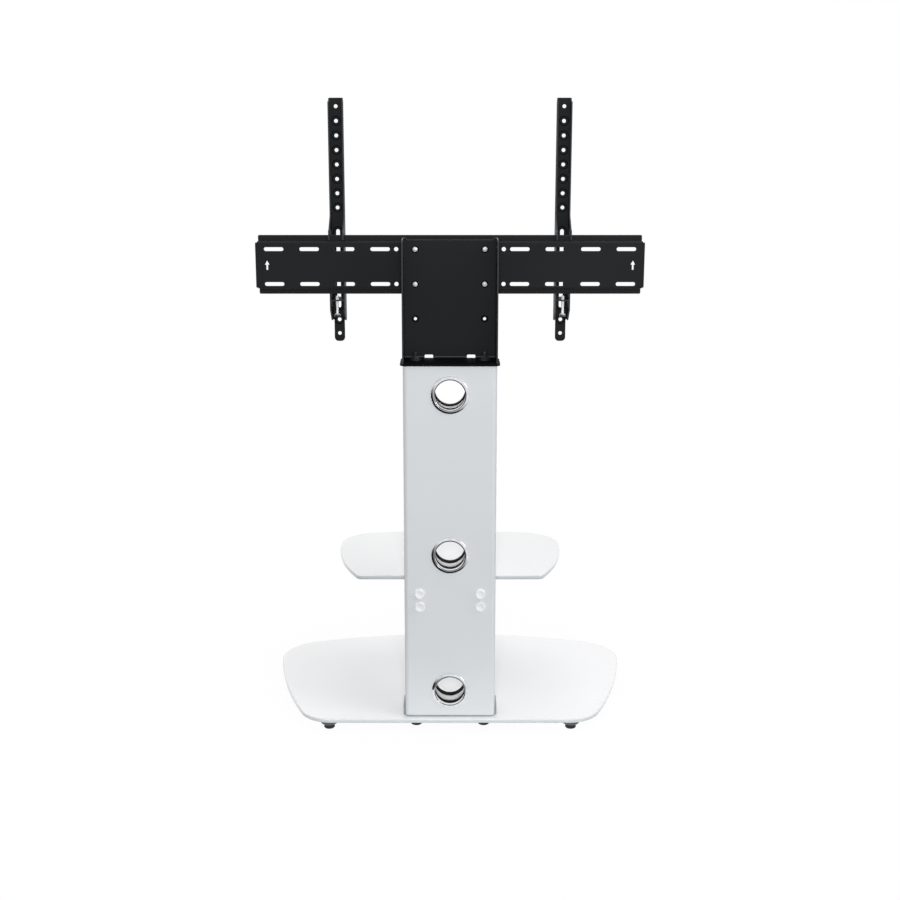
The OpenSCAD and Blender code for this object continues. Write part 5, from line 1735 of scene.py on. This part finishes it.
    def build(self) -> None:
        """Builds the arm, its tab and its screw on their bodies."""
        tail, at = self.side.name.lower(), (self.side.value * self.x, 0, 0)
        make_piece(f"arm_folded_{tail}", self.channel().moved(at),
                   (BLACK_COAT, BLACK_PAINTED_RIM_HIGHLIGHT, BLACK_PAINTED_SHADE), f"arm_{tail}", f"arm_{tail}")
        make_piece(f"lock_tab_pressed_{tail}", self.tab().moved(at), (BLACK_COAT, BLACK_PAINTED_RIM_HIGHLIGHT),
                   f"lock_tab_{tail}", f"arm_{tail}")
        make_turned(f"lock_screw_ribbed_{tail}", self.screw().moved(at), (ZINC, ZINC_PAINTED_SHADE),
                    f"lock_screw_{tail}", f"lock_screw_{tail}")


def dress_nodes(nodes: Mapping[str, bpy.types.Object]) -> None:
    """Gives the CAD nodes that stay their finishes.

    Args:
        nodes: the CAD nodes by name.
    """
    finishes: dict[str, Finish] = {
        "foot_screws": DARK_ZINC, "column_foot_plate": INSIDE_PAINT,
        "column_head_plate": INSIDE_PAINT, "shelf_bolts": ZINC, "shelf_bolt_spacers": DARK_ZINC,
        "shelf_bond_pad": SILICONE,
    }
    for name, finish in finishes.items():
        node = nodes[name]
        if not node.material_slots:
            node.data.materials.append(None)
        for slot in node.material_slots:
            slot.material = finish.material()
        LOG.info("%s keeps its shape and gets %s", name, finish.name)


# ---------------------------------------------------------------- studio


@dataclass
class Studio:
    """Camera, floor, lamps and surroundings.

    Attributes:
        camera_at: place of the camera in metres.
        tilt: angle of the camera above straight down, in degrees.
        lens: focal length on a sensor 36 wide.
        paper: radius of the floor in metres.
        paper_y: where its middle lies, further forward than the stand's, as the shadow does.
        shade: radius from which the floor fades to white, in metres.
    """

    camera_at: tuple[float, float, float] = (0.0, 2.58435, 1.1063)
    tilt: float = 76.4
    lens: float = 55.6
    paper: float = 0.5
    paper_y: float = -0.1
    shade: float = 0.3

    def camera(self) -> None:
        """Puts the camera where the photograph was taken from, behind the stand."""
        data = bpy.data.cameras.new("camera")
        data.sensor_width, data.lens, data.clip_end = 36.0, self.lens, 100.0
        camera = bpy.data.objects.new("camera", data)
        camera.location = self.camera_at
        camera.rotation_euler = Euler((math.radians(self.tilt), 0, math.radians(180)))
        bpy.context.scene.collection.objects.link(camera)
        bpy.context.scene.camera = camera

    def floor(self) -> None:
        """Makes a plain pale floor, a ring grid of points, that keeps a soft shadow.

        Rays from the camera, and those that metal or glass sends on, see it as white paper.
        """
        count, radii = 64, (0.0, self.shade, 0.4, self.paper)
        angle = np.arange(count) * (2 * np.pi / count)
        radius = np.array(radii)[:, None]
        points = np.stack([radius * np.cos(angle), radius * np.sin(angle),
                           np.zeros((len(radii), count))], -1).reshape(-1, 3)
        points[:, 1] += self.paper_y
        grid = grid_faces(len(radii), count, False, True)
        disc = welded(Surface(points / MM, grid, np.zeros(len(grid), int)))
        mesh = bpy.data.meshes.new("floor")
        faces = [tuple(int(v) for v in row if v >= 0) for row in disc.faces]
        mesh.from_pydata((disc.points * MM).tolist(), [], faces)
        floor = bpy.data.objects.new("floor", mesh)
        bpy.context.scene.collection.objects.link(floor)
        g = Graph("floor_paper")
        g.finish(Base_Color=(0.9, 0.9, 0.9, 1), Roughness=0.9, Specular_IOR_Level=0.0)
        away = g.add("ShaderNodeVectorMath", {0: g.place, 1: (0.0, self.paper_y, 0.0)},
                     operation="DISTANCE").outputs["Value"]
        white = g.between(away, 0.95, 1.0, self.shade, 0.96 * self.paper)
        path = g.add("ShaderNodeLightPath").outputs
        direct = g.worked("ADD", path["Is Camera Ray"], path["Is Transmission Ray"], clamp=True)
        direct = g.worked("ADD", direct, path["Is Glossy Ray"], clamp=True)
        glow = g.add("ShaderNodeEmission", {"Color": (1, 1, 1, 1)}).outputs[0]
        mix = g.add("ShaderNodeMixShader", {0: g.worked("MULTIPLY", direct, white),
                                            1: g.shader.outputs[0], 2: glow})
        g.feed(g.tree.nodes["Material Output"].inputs["Surface"], mix.outputs[0])
        mesh.materials.append(g.material)

    def lamp(self, name: str, at: tuple[float, float, float], aim: tuple[float, float, float],
             size: float, power: float, mirrored: bool = False) -> None:
        """Hangs a square soft lamp and points it. One that isn't mirrored leaves no highlight."""
        data = bpy.data.lights.new(name, "AREA")
        data.shape, data.size, data.energy = "SQUARE", size, power
        lamp = bpy.data.objects.new(name, data)
        lamp.visible_glossy = mirrored
        lamp.location = at
        lamp.rotation_euler = (Vector(aim) - Vector(at)).to_track_quat("-Z", "Y").to_euler()
        bpy.context.scene.collection.objects.link(lamp)

    def surroundings(self) -> None:
        """Makes a pale room that shows white behind the stand.

        The strength is 1 where the camera looks past the stand. What metal and glass mirror is as
        white on the arms' side, and on the other side goes from dark, low down on the left, to
        bright, high up on the right. What lights the stand is a plain pale glow from all round.
        """
        world = bpy.data.worlds.new("studio")
        bpy.context.scene.world = world
        w = Wires(world)
        direction = w.add("ShaderNodeTexCoord").outputs["Generated"]
        path = w.add("ShaderNodeLightPath").outputs

        def ranged(axis: Sequence[float], start: float, end: float, low: float = 0.0,
                   high: float = 1.0) -> bpy.types.NodeSocket:
            """Returns low to high as a direction's dot product with an axis goes from start to
            end."""
            along = w.add("ShaderNodeVectorMath", {0: direction, 1: axis}, operation="DOT_PRODUCT")
            return w.between(along.outputs["Value"], low, high, start, end)

        shiny = w.worked("MAXIMUM", path["Is Glossy Ray"], path["Is Transmission Ray"])
        glow = ranged((0, 1, 0), -0.3, 0.6, 0.46, 0.16)
        backdrop = ranged((0, 1, 0), 0.35, -0.25)
        window = ranged((-0.6, 0, 1), -0.44, -0.12, 0.02)
        behind = ranged((0, 1, 0), -0.1, 0.3)
        mirrored = w.worked("MAXIMUM", backdrop, w.worked("MULTIPLY", window, behind))
        plain = w.worked("MULTIPLY", w.worked("SUBTRACT", 1.0, shiny), glow)
        lit = w.worked("MULTIPLY_ADD", shiny, mirrored, plain)
        strength = w.worked("MAXIMUM", lit, path["Is Camera Ray"])
        background = w.tree.nodes["Background"]
        w.feed(background.inputs["Color"], (1, 1, 1, 1))
        w.feed(background.inputs["Strength"], strength)

    def build(self) -> None:
        """Sets up the whole studio."""
        bpy.context.scene.view_settings.view_transform = "Standard"
        self.camera()
        self.floor()
        self.surroundings()
        self.lamp("key", (-2.7, 1.3, 1.9), (0.0, 0.1, 0.55), 1.4, 23.0, mirrored=True)
        self.lamp("fill", (2.2, 2.4, 1.3), (0.0, 0.1, 0.5), 1.8, 2.0)
        self.lamp("camera", (-0.02, 3.0, 1.27), (0.0, 0.1, 0.45), 0.5, 59.0)
        self.lamp("overhead", (-0.3, 0.1, 2.9), (0.0, 0.0, 0.0), 2.0, 22.5)
        self.lamp("front", (0.5, -2.6, 1.5), (0.0, 0.0, 0.5), 1.6, 19.0)


def main() -> None:
    """Builds the studio and every piece."""
    logging.basicConfig(level=logging.INFO, format="%(message)s")
    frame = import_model()
    Studio().build()
    base = GlassPanel("base_glass", width=692.0, depth=431.3, front_r=920.0, side_r=900.0,
                      side_y=384.6, front_corner=90.0, back_corner=65.0, back_y=215.65,
                      low=BASE_LOW, face=BASE_TOP, edge=BASE_EDGE,
                      holes=[(*place, 11.0) for place in both_sides(BASE_BOLT_X, BASE_BOLT_ROWS)])
    shelf = GlassPanel("shelf_glass", width=430.0, depth=281.0, front_r=1200.0, side_r=400.0,
                       side_y=184.0, front_corner=75.0, back_corner=12.0, back_y=143.45,
                       low=SHELF_LOW, face=SHELF_TOP_PAINTED_SHADE, edge=SHELF_EDGE)
    for part in (base, shelf, Feet(), BaseBolts(), Column(), ShelfBracket(), Tower(),
                 SlottedPlate(), Arm(Side.LEFT), Arm(Side.RIGHT)):
        part.build()
    dress_nodes(frame["nodes"])


if __name__ == "__main__":
    main()
